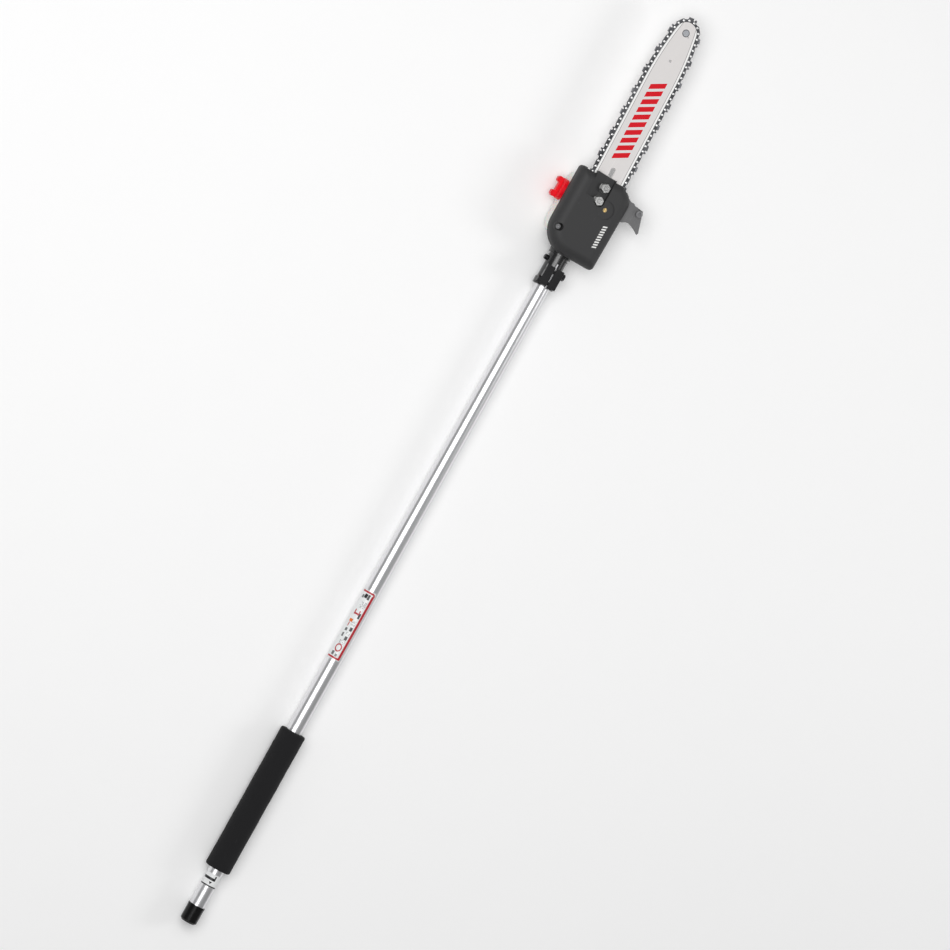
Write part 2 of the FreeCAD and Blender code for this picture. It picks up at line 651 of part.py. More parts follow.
def make_gear_case():
    """A die-cast case: a drum for the bevel gears, a neck for the pinion and the bar pad."""
    case = new_body("gear_case")
    drum = draw_circle(new_sketch(case, "XY", "-sizes.case_bottom"), "0", "0", "sizes.case_dia")
    pad(case, drum, "sizes.case_bottom + sizes.pad_top")
    doc.recompute()
    inset = "(sizes.cover_wall + 1)"
    top = draw_outline(new_sketch(case, "XY", "sizes.pad_top - sizes.pad_thick"), [
        ("-20", inset + " + 1 - sizes.cover_back_right"),
        ("sizes.cover_knee - sizes.cover_knee_corner / 2", inset + " - sizes.cover_right"),
        ("sizes.cover_knee + sizes.cover_knee_corner * 0.2",
         inset + " + sizes.cover_knee_corner * 0.42 - sizes.cover_right"),
        ("sizes.cover_front - 8", inset + " - 3 - sizes.cover_front_right"),
        ("sizes.cover_front - 8", "sizes.tank_outer - 3"),
        ("-sizes.cover_screw_x - 3.5", "sizes.tank_outer - 3"),
        ("-30", "sizes.cover_screw_y - 0.5"),
        ("-30", "10"),
    ])
    pad(case, top, "sizes.pad_thick")
    doc.recompute()
    neck = draw_circle(new_sketch(case, "YZ", "-sizes.neck_reach"), "0", "0", "sizes.neck_dia")
    pad(case, neck, "sizes.neck_reach")
    doc.recompute()
    flange = draw_circle(new_sketch(case, "YZ", "-sizes.neck_reach"), "0", "0", "sizes.flange_dia")
    pad(case, flange, "sizes.flange_thick")
    doc.recompute()
    boss = draw_circle(new_sketch(case, "XY", "-2"), "sizes.pump_gap", "0", "sizes.pump_dia + 7")
    pad(case, boss, "sizes.pad_top + 2")
    doc.recompute()
    studs = new_sketch(case, "XY", "sizes.pad_top - sizes.pad_thick - 12")
    draw_circle(studs, STUD_ONE_X, STUD_ONE_Y, "sizes.stud_dia * 2")
    pad(case, studs, "sizes.pad_thick + 12")
    doc.recompute()
    studs = new_sketch(case, "XY", "sizes.pad_top - sizes.pad_thick - 12")
    draw_circle(studs, STUD_TWO_X, STUD_TWO_Y, "sizes.stud_dia * 2")
    pad(case, studs, "sizes.pad_thick + 12")
    doc.recompute()
    arm = draw_outline(new_sketch(case, "XY", "sizes.pad_top - sizes.pad_thick - 3"), [
        ("36", "-40"),
        ("sizes.hook_screw_x + 12", "-36"),
        ("sizes.hook_screw_x + 7", "-sizes.hook_screw_y - 6"),
        ("sizes.hook_screw_x - 7", "-sizes.hook_screw_y - 6"),
    ])
    pad(case, arm, "sizes.pad_thick")
    doc.recompute()
    main = draw_outline(new_sketch(case, "XZ"), [
        ("0", LOWER_BASE),
        ("sizes.lower_bearing_dia / 2", LOWER_BASE),
        ("sizes.lower_bearing_dia / 2", LOWER_TOP),
        ("sizes.upper_bearing_dia / 2 - 0.5", LOWER_TOP + " + 1"),
        ("sizes.upper_bearing_dia / 2 - 0.5", "sizes.upper_bearing_base"),
        ("sizes.upper_bearing_dia / 2", "sizes.upper_bearing_base"),
        ("sizes.upper_bearing_dia / 2", UPPER_TOP),
        ("sizes.upper_bearing_dia / 2 + sizes.clip_depth", UPPER_TOP),
        ("sizes.upper_bearing_dia / 2 + sizes.clip_depth", UPPER_TOP + " + sizes.clip_thick"),
        ("sizes.upper_bearing_dia / 2", UPPER_TOP + " + sizes.clip_thick"),
        ("sizes.upper_bearing_dia / 2", "sizes.pad_top + 1"),
        ("0", "sizes.pad_top + 1"),
    ])
    groove = case.newObject("PartDesign::Groove", "gear_case_bore")
    groove.Profile = main
    groove.ReferenceAxis = (main, ["V_Axis"])
    groove.Angle = 360
    doc.recompute()
    tunnel = draw_circle(new_sketch(case, "YZ", "-sizes.neck_reach"), "0", "0", "sizes.pinion_bearing_dia")
    pocket(case, tunnel, "sizes.neck_reach - 4", up=True)
    doc.recompute()
    slot = draw_circle(new_sketch(case, "YZ", "-(%s) - sizes.clip_thick" % REAR_CLIP), "0", "0",
                       "sizes.pinion_bearing_dia + sizes.clip_depth * 2")
    pocket(case, slot, "sizes.clip_thick", up=True)
    doc.recompute()
    recess = draw_circle(new_sketch(case, "XY", "sizes.pad_top"), "sizes.pump_gap", "0",
                         "(sizes.pump_teeth + 4) * sizes.pump_module")
    pocket(case, recess, "sizes.pad_top - (%s) + 0.4" % PUMP_GEAR_BASE)
    doc.recompute()
    barrel = draw_circle(new_sketch(case, "XY", "sizes.pad_top"), "sizes.pump_gap", "0", "sizes.pump_dia")
    pocket(case, barrel, "sizes.pad_top - (%s) + 0.4 + sizes.pump_length" % PUMP_GEAR_BASE)
    doc.recompute()
    holes = new_sketch(case, "XY", "sizes.pad_top")
    draw_circle(holes, STUD_ONE_X, STUD_ONE_Y, "sizes.stud_dia")
    draw_circle(holes, STUD_TWO_X, STUD_TWO_Y, "sizes.stud_dia")
    pocket(case, holes, "sizes.pad_thick + 10")
    doc.recompute()
    screws = new_sketch(case, "XY", "sizes.pad_top + 10")
    draw_circle(screws, "-sizes.cover_screw_x", "sizes.cover_screw_y", "sizes.cover_screw_dia")
    draw_circle(screws, "sizes.hook_screw_x", "-sizes.hook_screw_y", "sizes.hook_screw_dia")
    for x, y in TANK_SCREWS:
        draw_circle(screws, x, y, "sizes.cover_screw_dia")
    pocket(case, screws, "sizes.pad_thick + 20")
    doc.recompute()
    feed = draw_circle(new_sketch(case, "XZ"), "sizes.pump_gap", PUMP_PORT, "sizes.line_dia")
    pocket(case, feed, "sizes.tank_inner", up=False)
    doc.recompute()
    seat = draw_outline(new_sketch(case, "XY", "sizes.pad_top"), [
        ("sizes.hook_bed_start", "-60"),
        ("sizes.hook_bed_end", "-60"),
        ("sizes.hook_bed_end", "-sizes.hook_root"),
        ("sizes.hook_bed_start", "-sizes.hook_root"),
    ])
    pocket(case, seat, "sizes.hook_thick - 1")
    keep(place_head(case), "gear_case")


def make_bearings_and_clips():
    """Sealed ball bearings, drawn as plain rings, with the snap rings that hold them."""
    def pinion_bearing(name, base):
        bearing = ring(name, "sizes.pinion_shank_dia / 2", "sizes.pinion_bearing_dia / 2",
                       base, base + " + sizes.pinion_bearing_width")
        return place(bearing, HEAD_X, axis="-x")
    group("pinion_bearings", [pinion_bearing("pinion_bearing_front", FRONT_BEARING),
                              pinion_bearing("pinion_bearing_rear", REAR_BEARING)])
    clip = ring("pinion_snap_ring", "sizes.pinion_bearing_dia / 2 - sizes.clip_depth * 2",
                "sizes.pinion_bearing_dia / 2 + sizes.clip_depth",
                REAR_CLIP, REAR_CLIP + " + sizes.clip_thick")
    keep(place(clip, HEAD_X, axis="-x"), "pinion_snap_ring")
    lower = ring("lower_bearing", "sizes.lower_journal_dia / 2", "sizes.lower_bearing_dia / 2",
                 LOWER_BASE, LOWER_TOP)
    keep(place_head(lower), "lower_bearing")
    upper = ring("upper_bearing", "sizes.upper_journal_dia / 2", "sizes.upper_bearing_dia / 2",
                 "sizes.upper_bearing_base", UPPER_TOP)
    keep(place_head(upper), "upper_bearing")
    clip = ring("upper_snap_ring", "sizes.upper_bearing_dia / 2 - sizes.clip_depth * 2",
                "sizes.upper_bearing_dia / 2 + sizes.clip_depth", UPPER_TOP, UPPER_TOP + " + sizes.clip_thick")
    keep(place_head(clip), "upper_snap_ring")


def bevel_teeth(module, teeth, mate_teeth, face, phase, hub_radius, hub_end, bore):
    """A straight bevel gear with its apex at the origin and its axis along +Z."""
    radius = module * teeth / 2
    distance = module * mate_teeth / 2
    slant = math.hypot(radius, distance)
    along = Vector(radius / slant, 0, distance / slant)
    outward = Vector(distance / slant, 0, -radius / slant)
    sideways = Vector(0, 1, 0)
    toe = (slant - face) / slant
    tip = 0.8 * module
    root = 1.0 * module
    space = math.pi * module
    half_widths = ((tip, 0.10 * space), (0, 0.19 * space), (-root * 1.35, 0.24 * space))
    heel = [along * slant + outward * high + sideways * half for high, half in half_widths]
    heel += [along * slant + outward * high - sideways * half for high, half in reversed(half_widths)]
    front = [point * toe for point in heel]
    wires = [Part.makePolygon(points + points[:1]) for points in (heel, front)]
    tooth = Part.makeLoft(wires, True, True)
    low = along * slant - outward * root
    inner = low * toe
    back = hub_end
    skirt = low.z + (low.x - hub_radius) * 0.6
    profile = [Vector(bore, 0, inner.z), Vector(inner.x, 0, inner.z), Vector(low.x, 0, low.z),
               Vector(hub_radius, 0, min(skirt, back - 0.5)),
               Vector(hub_radius, 0, back), Vector(bore, 0, back)]
    blank = Part.Face(Part.makePolygon(profile + profile[:1])).revolve(Vector(), UP, 360)
    turned_teeth = []
    for number in range(teeth):
        copy = tooth.copy()
        copy.rotate(Vector(), UP, phase + 360.0 * number / teeth)
        turned_teeth.append(copy)
    return blank.fuse(turned_teeth)


def coded(label, shape):
    """A sub-part whose shape is worked out in code from the sheet's sizes."""
    item = doc.addObject("Part::Feature", label)
    item.Shape = shape
    return item


def make_bevel_gears():
    """The pinion on the drive shaft and the gear that it turns on the sprocket shaft."""
    module = size("gear_module")
    pinion_count = int(size("pinion_teeth"))
    gear_count = int(size("gear_teeth"))
    face = size("gear_face")
    shank = size("pinion_shank_dia") / 2
    square = size("shaft_square") + 2 * size("slip_gap")
    end = value(SHANK_END)
    pinion = bevel_teeth(module, pinion_count, gear_count, face, 0, shank + 2,
                         value(FRONT_BEARING), 0)
    shank_start = value(FRONT_BEARING) - 1
    pinion = pinion.fuse(Part.makeCylinder(shank, end - shank_start, Vector(0, 0, shank_start)))
    socket = Part.makeBox(square, square, size("square_length") + 1,
                          Vector(-square / 2, -square / 2, end - size("square_length")))
    pinion = coded("bevel_pinion", pinion.cut(socket).removeSplitter())
    # Own +Z points down the pole; own X, where the first tooth stands, points up.
    turn_down = Rotation(Vector(0, 0, 1), Vector(0, 1, 0), Vector(-1, 0, 0), "XYZ")
    pinion.Placement = Placement(Vector(value(HEAD_X), 0, 0), turn_down)
    bind(pinion, "Placement.Base.x", HEAD_X)
    keep(pinion, "bevel_pinion")
    gear = bevel_teeth(module, gear_count, pinion_count, face, 180 + 180.0 / gear_count,
                       size("upper_journal_dia") / 2 + 2, size("upper_bearing_base"),
                       size("upper_journal_dia") / 2)
    keep(place(coded("bevel_gear", gear), HEAD_X), "bevel_gear")


def make_sprocket_shaft():
    """The turned shaft that carries the bevel gear, the pump gear and the chain sprocket."""
    clip_base = SPROCKET_TOP
    shaft = turned("sprocket_shaft", [
        ("0", LOWER_BASE + " + 1"),
        ("sizes.lower_journal_dia / 2", LOWER_BASE + " + 1"),
        ("sizes.lower_journal_dia / 2", LOWER_TOP),
        ("sizes.lower_journal_dia / 2 + 1", LOWER_TOP),
        ("sizes.lower_journal_dia / 2 + 1", "0"),
        ("sizes.upper_journal_dia / 2", "4"),
        ("sizes.upper_journal_dia / 2", PUMP_GEAR_TOP),
        ("sizes.lower_journal_dia / 2", PUMP_GEAR_TOP),
        ("sizes.lower_journal_dia / 2", clip_base),
        ("sizes.lower_journal_dia / 2 - sizes.clip_depth", clip_base),
        ("sizes.lower_journal_dia / 2 - sizes.clip_depth", clip_base + " + sizes.clip_thick"),
        ("sizes.lower_journal_dia / 2", clip_base + " + sizes.clip_thick"),
        ("sizes.lower_journal_dia / 2", clip_base + " + sizes.clip_thick + 1"),
        ("0", clip_base + " + sizes.clip_thick + 1"),
    ])
    keep(place_head(shaft), "sprocket_shaft")
    clip = ring("sprocket_clip", "sizes.lower_journal_dia / 2 - sizes.clip_depth",
                "sizes.lower_journal_dia / 2 + 3", clip_base, clip_base + " + sizes.clip_thick")
    keep(place_head(clip), "sprocket_clip")


def make_sprocket():
    """Two rims that carry the straps, with a groove between them for the drive tangs."""
    rim = "sizes.chain_pitch * sizes.sprocket_teeth / pi - sizes.link_half - 1"
    # A drive link is a chord of the wheel, so its tang stands a little further in.
    chord = "sizes.chain_pitch * sizes.sprocket_teeth / pi * cos(90 / sizes.sprocket_teeth)"
    core = chord + " - sizes.tang_depth - 0.4"
    half = "sizes.link_thick / 2 + 0.25"
    outer = "sizes.link_thick / 2 + 2.6"
    sprocket = turned("drive_sprocket", [
        ("sizes.lower_journal_dia / 2", PUMP_GEAR_TOP),
        ("sizes.lower_journal_dia / 2 + 3", PUMP_GEAR_TOP),
        ("sizes.lower_journal_dia / 2 + 3", BAR_MID + " - (" + outer + ")"),
        (rim, BAR_MID + " - (" + outer + ")"),
        (rim, BAR_MID + " - (" + half + ")"),
        (core, BAR_MID + " - (" + half + ")"),
        (core, BAR_MID + " + " + half),
        (rim, BAR_MID + " + " + half),
        (rim, BAR_MID + " + " + outer),
        ("sizes.lower_journal_dia / 2 + 3", BAR_MID + " + " + outer),
        ("sizes.lower_journal_dia / 2 + 3", SPROCKET_TOP),
        ("sizes.lower_journal_dia / 2", SPROCKET_TOP),
    ])
    keep(place_head(sprocket), "drive_sprocket")


def spur_gear(module, teeth, bore, low, width, phase):
    """A thin spur gear with straight-sided teeth."""
    radius = module * teeth / 2
    tip = radius + 0.8 * module
    root = radius - 1.1 * module
    step = 2 * math.pi / teeth
    corners = []
    for number in range(teeth):
        middle = math.radians(phase) + number * step
        for reach, share in ((root, -0.30), (tip, -0.11), (tip, 0.11), (root, 0.30)):
            angle = middle + share * step
            corners.append(Vector(reach * math.cos(angle), reach * math.sin(angle), low))
    face = Part.Face(Part.makePolygon(corners + corners[:1]))
    return face.extrude(Vector(0, 0, width)).cut(Part.makeCylinder(bore, width, Vector(0, 0, low)))


def make_oil_pump():
    """The chain oil pump: a gear on the sprocket shaft turns the pump's own gear."""
    low = value(PUMP_GEAR_BASE)
    width = size("pump_gear_width")
    drive_count = int(size("pump_drive_teeth"))
    pump_count = int(size("pump_teeth"))
    drive = spur_gear(size("pump_module"), drive_count, size("upper_journal_dia") / 2, low, width, 0)
    keep(place(coded("pump_drive_gear", drive), HEAD_X), "pump_drive_gear")
    phase = 180 + 180.0 / pump_count
    spindle_radius = size("pump_spindle_dia") / 2
    driven = spur_gear(size("pump_module"), pump_count, spindle_radius, low, width, phase)
    reach = size("pump_length") * 0.6
    spindle = Part.makeCylinder(spindle_radius, reach + width, Vector(0, 0, low - reach))
    pump_gear = coded("pump_gear", driven.fuse(spindle).removeSplitter())
    keep(place(pump_gear, HEAD_X + " + sizes.pump_gap"), "pump_gear")
    top = PUMP_GEAR_BASE + " - 0.4"
    barrel = rod("oil_pump", "sizes.pump_dia / 2", top + " - sizes.pump_length", top)
    doc.recompute()
    bore = draw_circle(new_sketch(barrel, "XY", top), "0", "0", "sizes.pump_spindle_dia + sizes.slip_gap * 2")
    pocket(barrel, bore, "sizes.pump_length * 0.6 + 0.2")
    keep(place(barrel, HEAD_X + " + sizes.pump_gap"), "oil_pump")
    line = ring("oil_line", "sizes.line_dia / 2 - 0.8", "sizes.line_dia / 2",
                "sizes.pump_dia / 2", LINE_END)
    keep(place(line, HEAD_X + " + sizes.pump_gap", "0", PUMP_PORT, "y"), "oil_line")
    strainer = turned("oil_filter", [
        ("sizes.line_dia / 2", "sizes.tank_inner + 5"),
        ("sizes.line_dia / 2 + 1.2", "sizes.tank_inner + 5"),
        ("sizes.line_dia / 2 + 2.2", "sizes.tank_inner + 6.5"),
        ("sizes.line_dia / 2 + 2.2", "sizes.tank_outer - 4"),
        ("0", "sizes.tank_outer - 4"),
        ("0", LINE_END),
        ("sizes.line_dia / 2", LINE_END),
    ])
    keep(place(strainer, HEAD_X + " + sizes.pump_gap", "0", PUMP_PORT, "y"), "oil_filter")


for make in (make_gear_case, make_bearings_and_clips, make_bevel_gears, make_sprocket_shaft,
             make_sprocket, make_oil_pump):
    make()
    doc.recompute()

# ---------------------------------------------------------------- guide bar

def taper_radius():
    """Radius of the long arc that joins the straight rail to the nose."""
    half = size("bar_width") / 2
    nose = size("nose_radius")
    run = size("nose_centre") - size("taper_start")
    return (run ** 2 + half ** 2 - nose ** 2) / (2 * (half - nose))


def bar_corners(offset):
    """Centres and radii of the bar's arcs, with the outline moved out by an offset."""
    half = size("bar_width") / 2
    big = taper_radius()
    tail = Vector(size("bar_tail") + size("tail_radius"), half - size("tail_radius"), 0)
    taper = Vector(size("taper_start"), half - big, 0)
    nose = Vector(size("nose_centre"), 0, 0)
    radii = (size("tail_radius") + offset, big + offset, size("nose_radius") + offset)
    return (tail, taper, nose), radii


def bar_blank(inset, low, thickness):
    """The bar's outline drawn inwards by an inset, as a flat plate."""
    (tail, taper, nose), (tail_radius, big, nose_radius) = bar_corners(-inset)
    # The tail is cut back so that the bar can slide in without lifting the chain.
    tail.x += size("tension_travel") + 0.5
    towards = (nose - taper).normalize()
    meet = taper + towards * big
    half_way = (Vector(0, 1, 0) + towards).normalize()
    back = Vector(tail.x - tail_radius, tail.y, 0)
    top = Vector(tail.x, tail.y + tail_radius, 0)
    corner = tail + Vector(-1, 1, 0).normalize() * tail_radius
    rail_end = Vector(taper.x, taper.y + big, 0)

    def flip(point):
        return Vector(point.x, -point.y, 0)

    edges = [
        Part.Arc(back, corner, top).toShape(),
        Part.LineSegment(top, rail_end).toShape(),
        Part.Arc(rail_end, taper + half_way * big, meet).toShape(),
        Part.Arc(meet, nose + Vector(nose_radius, 0, 0), flip(meet)).toShape(),
        Part.Arc(flip(meet), flip(taper + half_way * big), flip(rail_end)).toShape(),
        Part.LineSegment(flip(rail_end), flip(top)).toShape(),
        Part.Arc(flip(top), flip(corner), flip(back)).toShape(),
        Part.LineSegment(flip(back), back).toShape(),
    ]
    face = Part.Face(Part.Wire(edges))
    face.translate(Vector(0, 0, low))
    return face.extrude(Vector(0, 0, thickness))


def bar_openings(low, thickness):
    """The stud slot, the two tension holes, the small window and the oil holes."""
    half = size("stud_dia") / 2 + size("slot_gap")
    start = size("stud_one") - 1
    end = size("slot_end") - half
    base = Vector(start, 0, low)
    cuts = [
        Part.makeCylinder(half, thickness, base),
        Part.makeCylinder(half, thickness, Vector(end, 0, low)),
        Part.makeBox(end - start, 2 * half, thickness, Vector(start, -half, low)),
        Part.makeCylinder(size("window_dia") / 2, thickness, Vector(size("window_x"), 1.5, low)),
    ]
    for side in (-1, 1):
        at = Vector(size("pin_x"), side * size("tension_y"), low)
        cuts.append(Part.makeCylinder(size("pin_dia") / 2 + size("slip_gap"), thickness, at))
        oil = Vector(size("bar_tail") + 11, side * (size("bar_width") / 2 - 9), low)
        cuts.append(Part.makeCylinder(1.25, thickness, oil))
    return cuts


def make_guide_bar():
    """Two side plates spot-welded over a narrower core, which leaves the chain's groove."""
    bottom = value(BAR_BASE)
    rail = size("rail_thick")
    groove = size("groove_width")
    nose = Vector(size("nose_centre"), 0, 0)
    for label, low in (("bar_plate_lower", bottom), ("bar_plate_upper", bottom + rail + groove)):
        blank = bar_blank(0, low, rail).cut(bar_openings(low, rail))
        rivet_hole = Part.makeCylinder(size("nose_rivet_dia") / 2 - 1.5, rail, nose + Vector(0, 0, low))
        blank = blank.cut(rivet_hole)
        if label == "bar_plate_upper":
            blank = blank.cut(Part.makeCylinder(1.1, rail, nose + Vector(-4.3, -6.8, low)))
        keep(place_bar(coded(label, blank)), label)
    low = bottom + rail
    core = bar_blank(size("groove_depth"), low, groove).cut(bar_openings(low, groove))
    chord = "(sizes.nose_radius + sizes.rivet_line) * cos(90 / sizes.nose_teeth)"
    tip = value(chord + " - sizes.tang_depth - 0.4")
    relief = Part.makeCylinder(tip + 0.6, groove, nose + Vector(0, 0, low))
    front = Part.makeBox(60, 60, groove, nose + Vector(0, -30, low))
    keep(place_bar(coded("bar_core", core.cut([relief, front]))), "bar_core")
    hub = "sizes.nose_rivet_dia / 2 + 1"
    head = "sizes.nose_rivet_dia / 2"
    shank = "sizes.nose_rivet_dia / 2 - 1.5"
    groove_low = BAR_BASE + " + sizes.rail_thick"
    groove_top = groove_low + " + sizes.groove_width"
    rivet = turned("nose_rivet", [
        ("0", BAR_BASE + " - 0.3"), (head, BAR_BASE + " - 0.3"), (head, BAR_BASE), (shank, BAR_BASE),
        (shank, groove_low), (hub, groove_low), (hub, groove_top), (shank, groove_top),
        (shank, BAR_TOP), (head, BAR_TOP), (head, BAR_TOP + " + 0.3"), ("0", BAR_TOP + " + 0.3"),
    ])
    place_bar(rivet)
    bind(rivet, "Placement.Base.x", HEAD_X + " + sizes.nose_centre * cos(sizes.bar_lean)")
    bind(rivet, "Placement.Base.y", "sizes.nose_centre * sin(sizes.bar_lean)")
    keep(rivet, "nose_rivet")
    teeth = int(size("nose_teeth"))
    hub_radius = value(hub) + size("slip_gap")
    corners = []
    for number in range(teeth):
        middle = 2 * math.pi * number / teeth
        for reach, share in ((hub_radius + 2, -0.5), (tip, -0.16), (tip, 0.16)):
            angle = middle + share * 2 * math.pi / teeth
            corners.append(Vector(reach * math.cos(angle), reach * math.sin(angle), 0))
    thick = size("link_thick")
    star = Part.Face(Part.makePolygon(corners + corners[:1])).extrude(Vector(0, 0, thick))
    star = star.cut(Part.makeCylinder(hub_radius, thick))
    sprocket = coded("nose_sprocket", star)
    place(sprocket, HEAD_X + " + sizes.nose_centre * cos(sizes.bar_lean)",
          "sizes.nose_centre * sin(sizes.bar_lean)", BAR_MID + " - sizes.link_thick / 2")
    keep(sprocket, "nose_sprocket")


# ---------------------------------------------------------------- saw chain

def chain_half_path():
    """Pieces of the rivet line from behind the sprocket, over the +Y rail, to the nose."""
    wheel = size("chain_pitch") * size("sprocket_teeth") / math.pi
    (tail, taper, nose), (tail_radius, big, nose_radius) = bar_corners(size("rivet_line"))
    reach = math.hypot(tail.x, tail.y)
    climb = math.atan2(tail.y, tail.x) + math.asin((tail_radius - wheel) / reach)
    side = Vector(-math.sin(climb), math.cos(climb), 0)
    towards = (nose - taper).normalize()
    blend = math.atan2(towards.y, towards.x)
    quarter = math.pi / 2
    return [
        ("arc", Vector(), wheel, math.pi, quarter + climb),
        ("line", side * wheel, tail + side * tail_radius),
        ("arc", tail, tail_radius, quarter + climb, quarter),
        ("line", tail + Vector(0, tail_radius, 0), Vector(taper.x, taper.y + big, 0)),
        ("arc", taper, big, quarter, blend),
        ("arc", nose, nose_radius, blend, 0),
    ]


def piece_length(piece):
    if piece[0] == "line":
        return (piece[2] - piece[1]).Length
    return piece[2] * (piece[3] - piece[4])


def point_on_chain(pieces, distance, half_length):
    """A point of the rivet line, measured in the chain's direction of travel."""
    mirrored = distance > half_length
    left = 2 * half_length - distance if mirrored else distance
    for piece in pieces:
        length = piece_length(piece)
        if left <= length + 1e-9:
            break
        left -= length
    if piece[0] == "line":
        point = piece[1] + (piece[2] - piece[1]) * (left / length)
    else:
        angle = piece[3] + (piece[4] - piece[3]) * left / length
        point = piece[1] + Vector(math.cos(angle), math.sin(angle), 0) * piece[2]
    return Vector(point.x, -point.y, 0) if mirrored else point


def make_chain():
    """A chisel chain: drive links in the groove, straps and cutters each side, and rivets."""
    half = "sizes.chain_pitch / 2"
    tall = "sizes.link_half"
    hole = "sizes.rivet_dia + sizes.slip_gap * 4"
    holes = [("-" + half, "0", hole), (half, "0", hole)]
    drive = plate("drive_link_shape", [
        ("-%s - 2.4" % half, "-0.6"), ("-%s - 1.2" % half, "-2.1"), ("-2.6", "-3.2"),
        ("-1.6", "-sizes.tang_depth"), ("0.4", "-sizes.tang_depth"), ("3.4", "-3.2"),
        (half + " + 1.2", "-2.1"), (half + " + 2.4", "-0.6"), (half + " + 1.4", "2.1"),
        ("-%s - 1.4" % half, "2.1"),
    ], "-sizes.link_thick / 2", "sizes.link_thick", holes)
    foot = [
        ("-%s - 2.8" % half, "0.9 - " + tall), ("-%s - 1.5" % half, "-" + tall),
        ("-%s + 0.5" % half, "-" + tall), ("-%s + 1.2" % half, "0.7 - " + tall),
        (half + " - 1.2", "0.7 - " + tall), (half + " - 0.5", "-" + tall),
        (half + " + 1.5", "-" + tall), (half + " + 2.8", "0.9 - " + tall),
    ]
    side = "sizes.link_thick / 2 + sizes.link_gap"
    strap = plate("tie_strap_shape", foot + [
        (half + " + 2.8", tall + " - 1.6"), (half + " + 1.4", tall),
        ("-%s - 1.4" % half, tall), ("-%s - 2.8" % half, tall + " - 1.6"),
    ], side, "sizes.strap_thick", holes)
    top = "sizes.cutter_height"
    cutter = plate("cutter_shape", foot + [
        (half + " + 2.8", tall + " - 1"), (half + " + 2.2", top + " - 0.7"), (half + " + 0.2", top + " - 0.7"),
        (half + " - 1.2", tall + " - 0.4"), ("1.6", tall + " - 0.4"), ("1.2", top),
        ("-%s - 2" % half, top + " - 0.9"), ("-%s - 2.8" % half, tall + " - 1"),
    ], side, "sizes.strap_thick", holes)
    doc.recompute()
    roof = new_sketch(cutter, "XY", "-sizes.link_thick / 2 - 0.9")
    draw_outline(roof, [
        ("1.2", top), ("-%s - 2" % half, top + " - 0.9"),
        ("-%s - 2" % half, top + " - 1.9"), ("0.7", top + " - 1.1"),
    ])
    pad(cutter, roof, "sizes.link_thick + 0.9 + sizes.link_gap + sizes.strap_thick")
    outer = side + " + sizes.strap_thick"
    rivet = turned("chain_rivet_shape", [
        ("0", "-(%s) - sizes.rivet_head" % outer),
        ("sizes.rivet_head_dia / 2 - 0.4", "-(%s) - sizes.rivet_head" % outer),
        ("sizes.rivet_head_dia / 2", "-(%s)" % outer),
        ("sizes.rivet_dia / 2", "-(%s)" % outer),
        ("sizes.rivet_dia / 2", outer),
        ("sizes.rivet_head_dia / 2", outer),
        ("sizes.rivet_head_dia / 2 - 0.4", outer + " + sizes.rivet_head"),
        ("0", outer + " + sizes.rivet_head"),
    ])
    doc.recompute()
    flip = Rotation(Vector(1, 0, 0), 180)
    pieces = chain_half_path()
    half_length = sum(piece_length(piece) for piece in pieces)
    spans = 2 * round(half_length / size("chain_pitch"))
    step = 2 * half_length / spans
    print("chain: %d rivets, pitch %.3f" % (spans, step))
    points = [point_on_chain(pieces, step * (number + 0.5), half_length) for number in range(spans)]
    height = Vector(0, 0, value(BAR_MID))
    found = {"drive_links": [], "tie_straps": [], "cutters": [], "chain_rivets": []}
    straps = {}
    for mirrored in (False, True):
        for name, body in (("strap", strap), ("cutter", cutter)):
            shape = body.Shape.copy()
            if mirrored:
                shape = shape.mirror(Vector(), UP)
            straps[name, mirrored] = shape
    for number, point in enumerate(points):
        after = points[(number + 1) % spans]
        forward = (after - point).normalize()
        middle = (point + after) * 0.5 + height
        frame = Placement(middle, Rotation(Vector(1, 0, 0), forward))
        rivet_copy = rivet.Shape.copy()
        rivet_copy.Placement = Placement(point + height, Rotation())
        found["chain_rivets"].append(rivet_copy)
        kinds = [("drive_links", drive.Shape)]
        if number % 2:
            turn_count = number // 2
            upper = "cutter" if turn_count % 4 == 1 else "strap"
            lower = "cutter" if turn_count % 4 == 3 else "strap"
            kinds = [
                ("cutters" if upper == "cutter" else "tie_straps", straps[upper, False]),
                ("cutters" if lower == "cutter" else "tie_straps", straps[lower, True]),
            ]
        for node, shape in kinds:
            copy = shape.copy()
            copy.Placement = frame.multiply(copy.Placement)
            found[node].append(copy)
    for node, shapes in found.items():
        keep(place_bar(coded(node, Part.makeCompound(shapes))), node)


# ---------------------------------------------------------------- bar clamp

